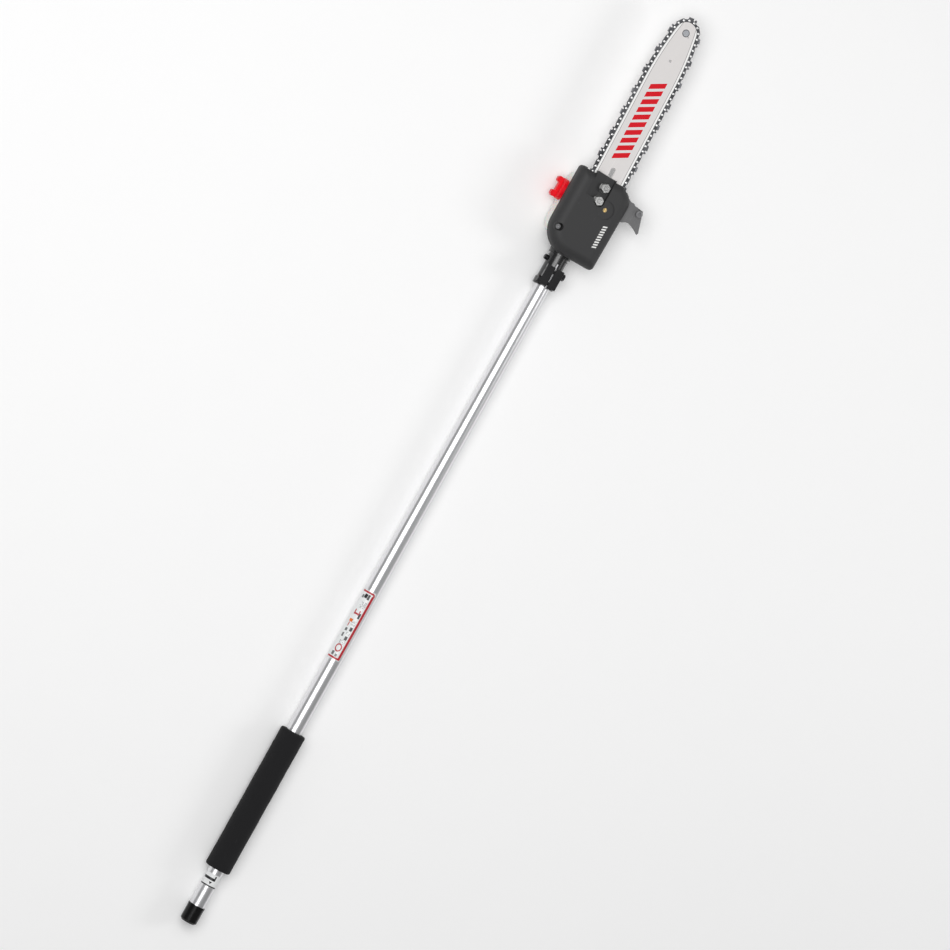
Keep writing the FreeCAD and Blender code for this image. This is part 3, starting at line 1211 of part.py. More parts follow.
def make_bar_clamp():
    """Guide plates each side of the bar, the two studs and their flange nuts."""
    studs = [
        ("sizes.stud_one", "0", "sizes.stud_dia"),
        ("sizes.stud_one + sizes.stud_gap", "0", "sizes.stud_dia"),
    ]
    outline = [
        ("32", "-16"), ("40", "-24"), ("sizes.cover_front - 4", "-24"),
        ("sizes.cover_front - 4", "24"), ("40", "24"), ("32", "16"),
    ]
    inner = plate("guide_plate_inner", outline, "sizes.pad_top", "sizes.plate_thick", studs)
    keep(place_bar(inner), "guide_plate_inner")
    outer = plate("guide_plate_outer", outline, BAR_TOP, "sizes.plate_thick", studs)
    doc.recompute()
    slot = new_sketch(outer, "XY", OUTER_PLATE_TOP)
    wide = "(sizes.pin_dia / 2 + 0.2)"
    draw_outline(slot, [
        ("sizes.pin_x - sizes.tension_travel - " + wide, "-sizes.tension_y - " + wide),
        ("sizes.pin_x + " + wide, "-sizes.tension_y - " + wide),
        ("sizes.pin_x + " + wide, "-sizes.tension_y + " + wide),
        ("sizes.pin_x - sizes.tension_travel - " + wide, "-sizes.tension_y + " + wide),
    ])
    pocket(outer, slot, "sizes.plate_thick")
    keep(place_bar(outer), "guide_plate_outer")
    stud_base = "sizes.pad_top - sizes.pad_thick - 10"
    stud_top = "sizes.nut_land + sizes.nut_height + 1"
    shapes = []
    nuts = []
    for name, x, y in (("lower", STUD_ONE_X, STUD_ONE_Y), ("upper", STUD_TWO_X, STUD_TWO_Y)):
        stud = turned("bar_stud_" + name, [
            ("0", stud_base), ("sizes.stud_dia / 2", stud_base),
            ("sizes.stud_dia / 2", stud_top + " - 1"), ("sizes.stud_dia / 2 - 1", stud_top), ("0", stud_top),
        ])
        shapes.append(place(stud, HEAD_X + " + " + x, y))
        nut = ring("bar_nut_" + name, "sizes.stud_dia / 2", "sizes.nut_flange_dia / 2",
                   "sizes.nut_land", "sizes.nut_land + sizes.nut_flange_thick")
        doc.recompute()
        hexagon = new_sketch(nut, "XY", "sizes.nut_land + sizes.nut_flange_thick / 2")
        draw_hexagon(hexagon, "0", "0", "sizes.nut_across")
        draw_circle(hexagon, "0", "0", "sizes.stud_dia")
        pad(nut, hexagon, "sizes.nut_height - sizes.nut_flange_thick / 2")
        nuts.append(place(nut, HEAD_X + " + " + x, y))
    group("bar_studs", shapes)
    group("bar_nuts", nuts)


# ---------------------------------------------------------------- cover and chain tensioner

def make_cover():
    """A moulded cover over the sprocket: a domed shell with a nut pocket and a screw dish."""
    cover = new_body("sprocket_cover")
    sketch = draw_outline(new_sketch(cover, "XY", "sizes.cover_bottom"), cover_points("0"))
    block = pad(cover, sketch, "sizes.cover_top - sizes.cover_bottom")
    doc.recompute()
    back = -size("cover_back")
    left = size("cover_left")
    front = size("cover_front")

    def corner(base, x, y, radius):
        names = upright_edges(base.Shape, x - 0.5, x + 0.5, y - 0.5, y + 0.5)
        return round_edges(cover, base, names, radius)

    shaped = corner(block, back, left, "sizes.cover_back_corner")
    shaped = corner(shaped, size("cover_knee"), -size("cover_right"), "sizes.cover_knee_corner")
    shaped = corner(shaped, front, -size("cover_front_right"), "sizes.cover_front_corner")
    shaped = corner(shaped, front - size("cover_set_back"), left, "sizes.cover_lip_corner")
    shaped = corner(shaped, back, -size("cover_back_right"), "sizes.cover_heel_corner")
    top = size("cover_top")
    bend = left - size("cover_back_corner") - 1
    names = []
    for index, edge in enumerate(shaped.Shape.Edges):
        box = edge.BoundBox
        on_top = box.ZMin > top - 0.01
        if on_top and box.YMin > bend and box.XMax < front - size("cover_lip_corner") - 1:
            names.append("Edge%d" % (index + 1))
    shaped = round_edges(cover, shaped, names, "sizes.shoulder_radius")
    shell = cover.newObject("PartDesign::Thickness", "sprocket_cover_shell")
    under = []
    for index, face in enumerate(shaped.Shape.Faces):
        if face.BoundBox.ZMax < size("cover_bottom") + 0.01:
            under.append("Face%d" % (index + 1))
    shell.Base = (shaped, under)
    shell.Value = size("cover_wall")
    bind(shell, "Value", "sizes.cover_wall")
    shell.Reversed = True
    doc.recompute()
    # Opening in the front wall for the bar and the chain.
    mouth = draw_outline(new_sketch(cover, "XY", "sizes.cover_bottom"), [
        ("sizes.cover_front - 24", "-38"), ("sizes.cover_front + 1", "-38"),
        ("sizes.cover_front + 1", "42"), ("sizes.cover_front - 24", "42"),
    ])
    pocket(cover, mouth, "sizes.nut_land - sizes.cover_bottom", up=True)
    doc.recompute()
    # Opening in the side skirt for the branch hook and its arm.
    gate = draw_outline(new_sketch(cover, "XY", "sizes.cover_bottom"), [
        ("sizes.hook_bed_start - 1", "-60"), ("sizes.hook_bed_end + 1", "-60"),
        ("sizes.hook_bed_end + 1", "-30"), ("sizes.hook_bed_start - 1", "-30"),
    ])
    pocket(cover, gate, "sizes.pad_top + 1.5 - sizes.cover_bottom", up=True)
    doc.recompute()
    # Thick land under the bar nuts, pressed on the outer guide plate.
    land = "sizes.nut_pocket_dia + sizes.cover_wall * 2"
    for x, y in ((STUD_ONE_X, STUD_ONE_Y), (STUD_TWO_X, STUD_TWO_Y)):
        boss = draw_circle(new_sketch(cover, "XY", OUTER_PLATE_TOP), x, y, land)
        pad(cover, boss, "sizes.cover_top - 1 - (%s)" % OUTER_PLATE_TOP)
        doc.recompute()
    bridge = draw_outline(new_sketch(cover, "XY", OUTER_PLATE_TOP), [
        (STUD_ONE_X, "-9"), ("sizes.cover_front - 1", "-9"),
        ("sizes.cover_front - 1", "26"), (STUD_ONE_X, "26"),
    ])
    pad(cover, bridge, "sizes.cover_top - 1 - (%s)" % OUTER_PLATE_TOP)
    doc.recompute()
    post = draw_circle(new_sketch(cover, "XY", "sizes.pad_top"), "-sizes.cover_screw_x",
                       "sizes.cover_screw_y", "sizes.cover_recess_dia + sizes.cover_wall * 2")
    pad(cover, post, "sizes.cover_top - 4 - sizes.pad_top")
    doc.recompute()
    guide = draw_circle(new_sketch(cover, "XY", SCREW_SEAT), TENSION_X, TENSION_Y, "9.2")
    pad(cover, guide, "sizes.cover_top - sizes.dish_depth - (%s)" % SCREW_SEAT)
    doc.recompute()
    # The nut pocket's floor climbs to the flat on its oil cap side.
    valley = draw_outline(new_sketch(cover, "YZ", STUD_ONE_X), [
        ("-8.2", "sizes.nut_land"), ("7", "sizes.nut_land"), ("29", "sizes.cover_top + 0.2"),
        ("29", "sizes.cover_top + 2"), ("-8.2", "sizes.cover_top + 2"),
    ])
    pocket(cover, valley, "sizes.cover_front", up=True)
    doc.recompute()
    wells = new_sketch(cover, "XY", "sizes.cover_top + 1")
    draw_circle(wells, STUD_ONE_X, STUD_ONE_Y, "sizes.nut_pocket_dia")
    pocket(cover, wells, "sizes.cover_top + 1 - sizes.nut_land")
    doc.recompute()
    wells = new_sketch(cover, "XY", "sizes.cover_top + 1")
    draw_circle(wells, STUD_TWO_X, STUD_TWO_Y, "sizes.nut_pocket_dia")
    pocket(cover, wells, "sizes.cover_top + 1 - sizes.nut_land")
    doc.recompute()
    dish = draw_circle(new_sketch(cover, "XY", "sizes.cover_top + 1"), TENSION_X, TENSION_Y, "sizes.dish_dia")
    pocket(cover, dish, "sizes.dish_depth + 1")
    doc.recompute()
    holes = new_sketch(cover, "XY", "sizes.cover_top + 1")
    draw_circle(holes, STUD_ONE_X, STUD_ONE_Y, "sizes.stud_dia")
    draw_circle(holes, STUD_TWO_X, STUD_TWO_Y, "sizes.stud_dia")
    draw_circle(holes, TENSION_X, TENSION_Y, "sizes.tension_head_dia + sizes.slip_gap * 2")
    draw_circle(holes, "-sizes.cover_screw_x", "sizes.cover_screw_y", "sizes.cover_screw_dia")
    pocket(cover, holes, "sizes.cover_top + 2 - sizes.pad_top")
    doc.recompute()
    recess = draw_circle(new_sketch(cover, "XY", "sizes.cover_top + 1"), "-sizes.cover_screw_x",
                         "sizes.cover_screw_y", "sizes.cover_recess_dia")
    pocket(cover, recess, "sizes.cover_top + 1 - (%s)" % COVER_SCREW_SEAT)
    doc.recompute()
    notch = draw_outline(new_sketch(cover, "XY", "sizes.cover_top + 1"), [
        ("sizes.cover_front - 12", "-14"), ("sizes.cover_front - 6", "-15.5"),
        ("sizes.cover_front - 6", "-12.5"), ("sizes.cover_front - 12", "-11"),
    ])
    pocket(cover, notch, "2.2")
    keep(place_head(cover), "sprocket_cover")


def socket_screw(name, seat, head_dia, head_height, shank_dia, reach):
    """A socket head screw whose head stands on its seat and whose shank points down."""
    screw = turned(name, [
        ("0", seat + " - " + reach),
        (shank_dia + " / 2", seat + " - " + reach),
        (shank_dia + " / 2", seat),
        (head_dia + " / 2", seat),
        (head_dia + " / 2", seat + " + " + head_height + " - 0.5"),
        (head_dia + " / 2 - 0.5", seat + " + " + head_height),
        ("0", seat + " + " + head_height),
    ])
    doc.recompute()
    socket = draw_hexagon(new_sketch(screw, "XY", seat + " + " + head_height), "0", "0", shank_dia + " * 0.75")
    pocket(screw, socket, shank_dia + " / 2")
    return screw


def make_cover_screw():
    screw = socket_screw("cover_screw", COVER_SCREW_SEAT, "(sizes.cover_screw_dia * 1.8)",
                         "(sizes.cover_screw_dia * 0.8)", "sizes.cover_screw_dia",
                         "(%s - sizes.pad_top + 4)" % COVER_SCREW_SEAT)
    keep(place(screw, HEAD_X + " - sizes.cover_screw_x", "sizes.cover_screw_y"), "cover_screw")


def make_tensioner():
    """A slotted screw turns a threaded rod through small bevels, and the rod moves the bar's pin."""
    module = size("rod_module")
    teeth = int(size("rod_teeth"))
    rod_radius = size("rod_dia") / 2
    radius = module * teeth / 2
    face = radius * 0.45
    head_radius = size("tension_head_dia") / 2
    height = size("rod_height")
    seat = value(SCREW_SEAT)
    top = size("cover_top") - size("dish_depth") + 0.4
    gear_back = seat - 0.1 - height
    screw = bevel_teeth(module, teeth, teeth, face, 180.0 / teeth, 1.6, gear_back, 0)
    screw = screw.fuse(Part.makeCylinder(head_radius, top - seat + 0.1, Vector(0, 0, gear_back)))
    slot = Part.makeBox(2 * head_radius, 1.2, 1.2, Vector(-head_radius, -0.6, top - height - 1.2))
    screw = coded("tension_screw", screw.cut(slot))
    place(screw, HEAD_X + " + " + TENSION_X, TENSION_Y, "sizes.rod_height")
    bind(screw, "Placement.Rotation.Angle", "sizes.bar_lean")
    keep(screw, "tension_screw")
    reach = value("sizes.pin_x - sizes.tension_x + 12")
    threaded = bevel_teeth(module, teeth, teeth, face, 0, 1.6, radius + 1.2, 0)
    threaded = threaded.fuse(Part.makeCylinder(rod_radius, reach - radius - 0.7, Vector(0, 0, radius + 0.7)))
    # Own Z runs along the bar; own X, where the first tooth stands, points up.
    lie = Rotation(Vector(0, 0, 1), Vector(0, -1, 0), Vector(1, 0, 0), "XYZ")
    threaded.Placement = Placement(Vector(size("tension_x"), -size("tension_y"), height), lie)
    keep(place_bar(coded("tension_rod", Part.makeCompound([threaded]))), "tension_rod")
    half = 3
    block_top = seat - 0.6
    block_low = value(OUTER_PLATE_TOP) + 0.3
    at = Vector(size("pin_x"), -size("tension_y"), 0)
    block = Part.makeBox(8, 2 * half, block_top - block_low, at + Vector(-4, -half, block_low))
    base = value(BAR_BASE) + 0.2
    pin = Part.makeCylinder(size("pin_dia") / 2, block_low - base + 1, at + Vector(0, 0, base))
    bore = Part.makeCylinder(rod_radius + size("slip_gap"), 10, at + Vector(-5, 0, height), Vector(1, 0, 0))
    keep(place_bar(coded("tension_pin", block.fuse(pin).cut(bore))), "tension_pin")
    start = size("tension_x") + radius + 2
    end = size("pin_x") + 10
    wide = half + 0.2
    strip = Part.makeBox(end - start, 2 * wide, 0.9, Vector(start, at.y - wide, seat - 0.2))
    walls = [Part.makeBox(1.8, 2 * wide, seat - block_low, Vector(x, at.y - wide, block_low))
             for x in (start, end - 1.8)]
    bore = Part.makeCylinder(rod_radius + size("slip_gap"), end - start + 2,
                             Vector(start - 1, at.y, height), Vector(1, 0, 0))
    keep(place_bar(coded("tension_bracket", strip.fuse(walls).cut(bore))), "tension_bracket")


# ---------------------------------------------------------------- oil tank

def make_oil_tank():
    """A translucent moulded tank under the cover's shoulder, with its neck facing outwards."""
    tank = new_body("oil_tank")
    points = [
        ("-sizes.tank_back", "sizes.tank_inner"), ("sizes.tank_front", "sizes.tank_inner"),
        ("sizes.tank_front", "sizes.tank_outer"), ("-sizes.tank_back", "sizes.tank_outer"),
    ]
    outer = draw_outline(new_sketch(tank, "XY", "-sizes.tank_bottom"), points)
    block = pad(tank, outer, "sizes.tank_bottom + " + TANK_TOP)
    doc.recompute()
    back = -size("tank_back")
    front = size("tank_front")
    side = size("tank_outer")
    names = upright_edges(block.Shape, back - 0.5, back + 0.5, side - 0.5, side + 0.5)
    shaped = round_edges(tank, block, names, "sizes.tank_outer - sizes.tank_inner - 2")
    names = upright_edges(shaped.Shape, front - 0.5, front + 0.5, side - 0.5, side + 0.5)
    shaped = round_edges(tank, shaped, names, "6")
    low = -size("tank_bottom")
    names = []
    for index, edge in enumerate(shaped.Shape.Edges):
        if edge.BoundBox.ZMax < low + 0.01 and edge.BoundBox.YMax > size("tank_inner") + 0.01:
            names.append("Edge%d" % (index + 1))
    shaped = round_edges(tank, shaped, names, "3")
    neck = draw_circle(new_sketch(tank, "XZ", "-sizes.tank_outer + sizes.tank_wall"), "sizes.neck_x", "0",
                       "sizes.neck_bore_dia + sizes.tank_wall * 2.4")
    pad(tank, neck, "sizes.tank_wall + 5", down=True)
    doc.recompute()
    for x, y in TANK_SCREWS:
        ear = draw_circle(new_sketch(tank, "XY", TANK_TOP + " - 1"), x, y, "sizes.cover_screw_dia * 2")
        pad(tank, ear, "sizes.pad_top - sizes.pad_thick + 1 - (%s)" % TANK_TOP)
        doc.recompute()
    wall = "sizes.tank_wall"
    hollow = draw_outline(new_sketch(tank, "XY", wall + " - sizes.tank_bottom"), [
        ("6 - sizes.tank_back", wall + " + sizes.tank_inner"),
        ("sizes.tank_front - " + wall, wall + " + sizes.tank_inner"),
        ("sizes.tank_front - " + wall, "sizes.tank_outer - 5"),
        ("sizes.tank_front - 5", "sizes.tank_outer - " + wall),
        ("20 - sizes.tank_back", "sizes.tank_outer - " + wall),
        ("10 - sizes.tank_back", "sizes.tank_outer - 6"),
    ])
    pocket(tank, hollow, "sizes.tank_bottom + %s - sizes.tank_wall * 2" % TANK_TOP, up=True)
    doc.recompute()
    filler = draw_circle(new_sketch(tank, "XZ", "-sizes.tank_outer - 6"),
                         "sizes.neck_x", "0", "sizes.neck_bore_dia")
    pocket(tank, filler, "sizes.tank_wall + 8", up=True)
    doc.recompute()
    feed = draw_circle(new_sketch(tank, "XZ", "-sizes.tank_inner + 1"),
                       "sizes.pump_gap", PUMP_PORT, "sizes.line_dia")
    pocket(tank, feed, "sizes.tank_wall + 2", up=False)
    doc.recompute()
    screws = new_sketch(tank, "XY", "sizes.pad_top")
    for x, y in TANK_SCREWS:
        draw_circle(screws, x, y, "sizes.cover_screw_dia")
    pocket(tank, screws, "sizes.pad_top - (%s) + 1.5" % TANK_TOP)
    keep(place_head(tank), "oil_tank")
    screws = []
    for number, (x, y) in enumerate(TANK_SCREWS):
        screw = socket_screw("tank_screw_%d" % (number + 1), "sizes.pad_top", "7", "2.5",
                             "sizes.cover_screw_dia", "(sizes.pad_top - (%s) + 1.3)" % TANK_TOP)
        screws.append(place(screw, HEAD_X + " + (" + x + ")", y))
    group("tank_screws", screws)


def make_oil_cap():
    """A winged screw cap over the filler neck, with a gasket inside it."""
    face = "sizes.tank_outer + 0.3"
    neck_end = "sizes.tank_outer + 5"
    neck = "sizes.neck_bore_dia / 2 + sizes.tank_wall * 1.2"
    ceiling = neck_end + " + 1.5"
    rim = "sizes.oil_cap_dia / 2"
    cap = turned("oil_cap", [
        (neck + " + sizes.slip_gap", face), (rim + " - 1", face), (rim, face + " + 1"),
        (rim, face + " + sizes.oil_cap_rim"), (rim + " - 2", face + " + sizes.oil_cap_rim + 1.5"),
        ("0", face + " + sizes.oil_cap_rim + 1.5"), ("0", ceiling), (neck + " + sizes.slip_gap", ceiling),
    ])
    doc.recompute()
    # Own XZ plane holds the wings' outline; own Z leads away from the tank.
    crest = "sizes.tank_outer + sizes.oil_cap_wing"
    saddle = crest + " - 5"
    shoulder = face + " + sizes.oil_cap_rim"
    wings = draw_outline(new_sketch(cap, "XZ", "-sizes.wing_width / 2"), [
        ("1.5 - " + rim, shoulder), (rim + " - 1.5", shoulder),
        (rim + " - 0.4", crest + " - 3.5"), (rim + " - 3", crest), (rim + " - 9.5", crest),
        (rim + " - 11.5", saddle), ("11.5 - " + rim, saddle), ("9.5 - " + rim, crest),
        ("3 - " + rim, crest), ("0.4 - " + rim, crest + " - 3.5"),
    ])
    pad(cap, wings, "sizes.wing_width")
    keep(place(cap, HEAD_X + " + sizes.neck_x", axis="y"), "oil_cap")
    gasket = ring("oil_cap_gasket", "sizes.neck_bore_dia / 2 + 0.5", neck + " - 0.2",
                  neck_end + " + 0.05", ceiling + " - 0.05")
    keep(place(gasket, HEAD_X + " + sizes.neck_x", axis="y"), "oil_cap_gasket")


# ---------------------------------------------------------------- branch hook

def make_branch_hook():
    """A stamped steel hook on the case's arm, held by a socket head screw."""
    base = "sizes.pad_top - sizes.hook_thick + 1"
    root = "-sizes.hook_root"
    tip = "-sizes.hook_reach"
    hook = plate("branch_hook", [
        ("sizes.hook_bed_start + 0.3", root), ("40.7", root + " - 11.6"), ("44.2", root + " - 17"),
        ("45", root + " - 23"), ("43", root + " - 30"), ("40", "7 - sizes.hook_reach"),
        ("35.7", tip), ("38.7", tip + " - 1.2"), ("sizes.hook_screw_x + 2.5", "8.5 - sizes.hook_reach"),
        ("sizes.hook_screw_x + 6", "10.5 - sizes.hook_reach"),
        ("sizes.hook_screw_x + 6", "17 - sizes.hook_reach"),
        ("sizes.hook_screw_x + 8.5", "20.5 - sizes.hook_reach"),
        ("sizes.hook_screw_x + 8.5", "25.5 - sizes.hook_reach"),
        ("sizes.hook_screw_x + 11", "29 - sizes.hook_reach"), ("sizes.hook_screw_x + 11", root + " - 8"),
        ("sizes.hook_bed_end - 0.3", root),
    ], base, "sizes.hook_thick", [("sizes.hook_screw_x", "-sizes.hook_screw_y", "sizes.hook_screw_dia")])
    keep(place_head(hook), "branch_hook")
    screw = socket_screw("hook_screw", "sizes.pad_top + 1", "12", "4", "sizes.hook_screw_dia",
                         "(sizes.hook_thick + sizes.pad_thick - 0.5)")
    keep(place(screw, HEAD_X + " + sizes.hook_screw_x", "-sizes.hook_screw_y"), "hook_screw")


for make in (make_guide_bar, make_chain, make_bar_clamp, make_cover, make_cover_screw,
             make_tensioner, make_oil_tank, make_oil_cap, make_branch_hook):
    make()
    doc.recompute()

bad = []
for item in doc.Objects:
    if "Invalid" in item.State or "Error" in item.State:
        bad.append("%s %s" % (item.Name, item.State))
for item in NODES:
    if item.Shape.isNull() or not item.Shape.isValid() or not item.Shape.Solids:
        bad.append("%s has no sound shape" % item.Label)
if bad:
    raise RuntimeError("the model is not sound: " + "; ".join(bad))
for item in NODES:
    item.Shape.exportStep("parts/%s.step" % item.Label)
print("wrote %d nodes" % len(NODES))
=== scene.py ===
import math

import bpy
import mathutils
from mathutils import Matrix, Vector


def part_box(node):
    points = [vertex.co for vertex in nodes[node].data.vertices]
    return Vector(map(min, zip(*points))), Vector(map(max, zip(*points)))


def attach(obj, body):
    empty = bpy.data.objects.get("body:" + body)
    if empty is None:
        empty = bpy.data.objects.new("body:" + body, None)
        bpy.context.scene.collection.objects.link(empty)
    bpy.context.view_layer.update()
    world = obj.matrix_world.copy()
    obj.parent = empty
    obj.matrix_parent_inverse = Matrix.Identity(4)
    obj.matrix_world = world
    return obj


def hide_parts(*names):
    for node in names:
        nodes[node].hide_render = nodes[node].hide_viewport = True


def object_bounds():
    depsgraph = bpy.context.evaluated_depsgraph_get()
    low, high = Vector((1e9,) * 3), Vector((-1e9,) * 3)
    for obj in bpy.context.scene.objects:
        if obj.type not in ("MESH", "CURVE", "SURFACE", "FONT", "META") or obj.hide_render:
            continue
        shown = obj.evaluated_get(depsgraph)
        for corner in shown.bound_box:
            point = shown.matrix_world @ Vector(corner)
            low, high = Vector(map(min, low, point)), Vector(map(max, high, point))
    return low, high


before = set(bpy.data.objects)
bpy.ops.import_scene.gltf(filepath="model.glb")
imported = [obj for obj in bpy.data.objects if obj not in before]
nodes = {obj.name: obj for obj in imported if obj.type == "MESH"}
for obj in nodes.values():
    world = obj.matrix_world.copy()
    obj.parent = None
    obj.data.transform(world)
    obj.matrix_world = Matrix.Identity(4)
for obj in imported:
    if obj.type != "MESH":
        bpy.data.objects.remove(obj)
cad_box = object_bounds()


# ---- Drive tube -------------------------------------------------------------
# The pole is one length of drawn aluminium tube, clear anodised and wiped clean.
# Drawing leaves fine lines along it, and handling leaves a few short scratches.

def add(tree, kind, inputs=None, **settings):
    """Place a node, set its settings, then fill or link its inputs."""
    node = tree.nodes.new(kind)
    for key, setting in settings.items():
        setattr(node, key, setting)
    for key, given in (inputs or {}).items():
        if isinstance(given, bpy.types.NodeSocket):
            tree.links.new(given, node.inputs[key])
        else:
            node.inputs[key].default_value = given
    return node


def calculate(tree, operation, *values):
    """The result of one math node on sockets or numbers."""
    return add(tree, "ShaderNodeMath", dict(enumerate(values)), operation=operation).outputs[0]


def distance(tree, first, second):
    """The length of the diagonal between two sides at a right angle."""
    first_squared = calculate(tree, "POWER", first, 2.0)
    second_squared = calculate(tree, "POWER", second, 2.0)
    return calculate(tree, "SQRT", calculate(tree, "ADD", first_squared, second_squared))


def worn_surface_group():
    """Grain, broad patches and fine scratches of a used surface, as masks from 0 to 1."""
    group = bpy.data.node_groups.new("worn_surface", "ShaderNodeTree")
    face = group.interface
    face.new_socket("Position", in_out="INPUT", socket_type="NodeSocketVector")
    for label, start in (("Grain Scale", 900.0), ("Patch Scale", 14.0), ("Scratch Amount", 0.3)):
        face.new_socket(label, in_out="INPUT", socket_type="NodeSocketFloat").default_value = start
    for label in ("Grain", "Patches", "Scratches"):
        face.new_socket(label, in_out="OUTPUT", socket_type="NodeSocketFloat")
    given = add(group, "NodeGroupInput").outputs
    grain = add(group, "ShaderNodeTexNoise", {"Vector": given["Position"], "Scale": given["Grain Scale"],
                                              "Detail": 3.0, "Roughness": 0.6})
    patches = add(group, "ShaderNodeTexNoise", {"Vector": given["Position"], "Scale": given["Patch Scale"],
                                                "Detail": 4.0, "Roughness": 0.55})
    slant = add(group, "ShaderNodeMapping", {"Vector": given["Position"], "Rotation": (0.3, 0.5, 0.6),
                                             "Scale": (60.0, 1400.0, 1400.0)})
    lines = add(group, "ShaderNodeTexNoise", {"Vector": slant.outputs[0], "Scale": 1.0, "Detail": 1.0})
    level = calculate(group, "SUBTRACT", 0.78, calculate(group, "MULTIPLY", given["Scratch Amount"], 0.18))
    sharp = add(group, "ShaderNodeMapRange", {"Value": lines.outputs[0], "From Min": level,
                                              "From Max": calculate(group, "ADD", level, 0.04)})
    where = add(group, "ShaderNodeMapRange", {"Value": patches.outputs[0], "From Min": 0.48, "From Max": 0.6})
    out = add(group, "NodeGroupOutput").inputs
    group.links.new(grain.outputs[0], out["Grain"])
    group.links.new(patches.outputs[0], out["Patches"])
    group.links.new(calculate(group, "MULTIPLY", sharp.outputs[0], where.outputs[0]), out["Scratches"])
    return group


worn_surface = worn_surface_group()


def finish(name, light, dark, rough, spread, grain_mm, relief_mm, scratch=0.3, stretch=(1, 1, 1),
           scratched=None, **shader_values):
    """A material whose colour, roughness and relief vary with grain, patches and scratches."""
    material = bpy.data.materials.new(name)
    material.use_nodes = True
    tree = material.node_tree
    shader = tree.nodes["Principled BSDF"]
    for key, number in shader_values.items():
        shader.inputs[key.replace("_", " ")].default_value = number
    place = add(tree, "ShaderNodeTexCoord").outputs["Object"]
    place = add(tree, "ShaderNodeMapping", {"Vector": place, "Scale": stretch}).outputs[0]
    worn = add(tree, "ShaderNodeGroup", node_tree=worn_surface)
    tree.links.new(place, worn.inputs["Position"])
    worn.inputs["Grain Scale"].default_value = 1000.0 / grain_mm
    worn.inputs["Scratch Amount"].default_value = scratch
    both = calculate(tree, "MULTIPLY_ADD", worn.outputs["Patches"], 1.2,
                     calculate(tree, "MULTIPLY_ADD", worn.outputs["Grain"], 1.0, -0.6))
    colour = add(tree, "ShaderNodeMix", {"Factor": both, "A": (*dark, 1), "B": (*light, 1)},
                 data_type="RGBA")
    marked = tuple(min(1.0, 1.6 * part + 0.02) for part in light) if scratched is None else scratched
    colour = add(tree, "ShaderNodeMix", {"Factor": worn.outputs["Scratches"], "A": colour.outputs["Result"],
                                         "B": (*marked, 1)}, data_type="RGBA")
    tree.links.new(colour.outputs["Result"], shader.inputs["Base Color"])
    roughness = add(tree, "ShaderNodeMapRange", {"Value": worn.outputs["Patches"], "From Min": 0.3,
                                                 "From Max": 0.7, "To Min": rough - spread,
                                                 "To Max": rough + spread})
    tree.links.new(roughness.outputs[0], shader.inputs["Roughness"])
    relief = add(tree, "ShaderNodeBump", {"Height": worn.outputs["Grain"], "Distance": relief_mm / 1000.0,
                                          "Strength": 1.0})
    tree.links.new(relief.outputs[0], shader.inputs["Normal"])
    return material


def dress(material, *names):
    """Give one material to CAD nodes."""
    for name in names:
        mesh = nodes[name].data
        mesh.materials.clear()
        mesh.materials.append(material)


tube_aluminium = finish("drawn_aluminium", light=(0.88, 0.88, 0.89), dark=(0.77, 0.77, 0.79), rough=0.33,
                        spread=0.05, grain_mm=0.35, relief_mm=0.004, scratch=0.25, stretch=(0.02, 1, 1),
                        Metallic=1.0)
dress(tube_aluminium, "drive_tube")


# ---- End cap ----------------------------------------------------------------
# A soft vinyl cap dipped on a mandrel and pushed over the tube's open end.
# It is glossy black with a slightly matt lip where it was trimmed.

cap_vinyl = finish("dipped_vinyl", light=(0.005, 0.005, 0.005), dark=(0.002, 0.002, 0.002), rough=0.24,
                   spread=0.08, grain_mm=1.2, relief_mm=0.02, scratch=0.4, Specular_IOR_Level=0.25)
dress(cap_vinyl, "end_cap")


# ---- Insertion decal and pole label -----------------------------------------
# Printed polyester foils wrapped on the tube: a ring with depth lines near the end cap,
# and a wide label with a red border, plain blocks and grey lines in place of its words.

FOIL_RADIUS = 12.82


def band(tree, value, middle, half):
    """A mask that is 1 where the value lies within half of the middle."""
    return calculate(tree, "COMPARE", value, middle, half)


def both_of(tree, *masks):
    """The overlap of several masks."""
    mask = masks[0]
    for other in masks[1:]:
        mask = calculate(tree, "MULTIPLY", mask, other)
    return mask


def print_on(material, mask, colour):
    """Lay a printed colour over a material's base colour where the mask is 1."""
    tree = material.node_tree
    base = tree.nodes["Principled BSDF"].inputs["Base Color"]
    under = base.links[0].from_socket
    ink = add(tree, "ShaderNodeMix", {"Factor": mask, "A": under, "B": (*colour, 1)}, data_type="RGBA")
    tree.links.new(ink.outputs["Result"], base)


def tube_coordinates(tree):
    """Distance along the pole and distance round it from the top line, both in millimetres."""
    place = add(tree, "ShaderNodeTexCoord").outputs["Object"]
    axes = add(tree, "ShaderNodeSeparateXYZ", {"Vector": place}).outputs
    along = calculate(tree, "MULTIPLY", axes["X"], 1000.0)
    angle = calculate(tree, "ARCTAN2", axes["Y"], axes["Z"])
    return along, calculate(tree, "MULTIPLY", angle, FOIL_RADIUS)


BLACK = (0.012, 0.012, 0.014)
GREY = (0.16, 0.165, 0.17)
RED = (0.46, 0.016, 0.028)
ORANGE = (0.80, 0.16, 0.01)

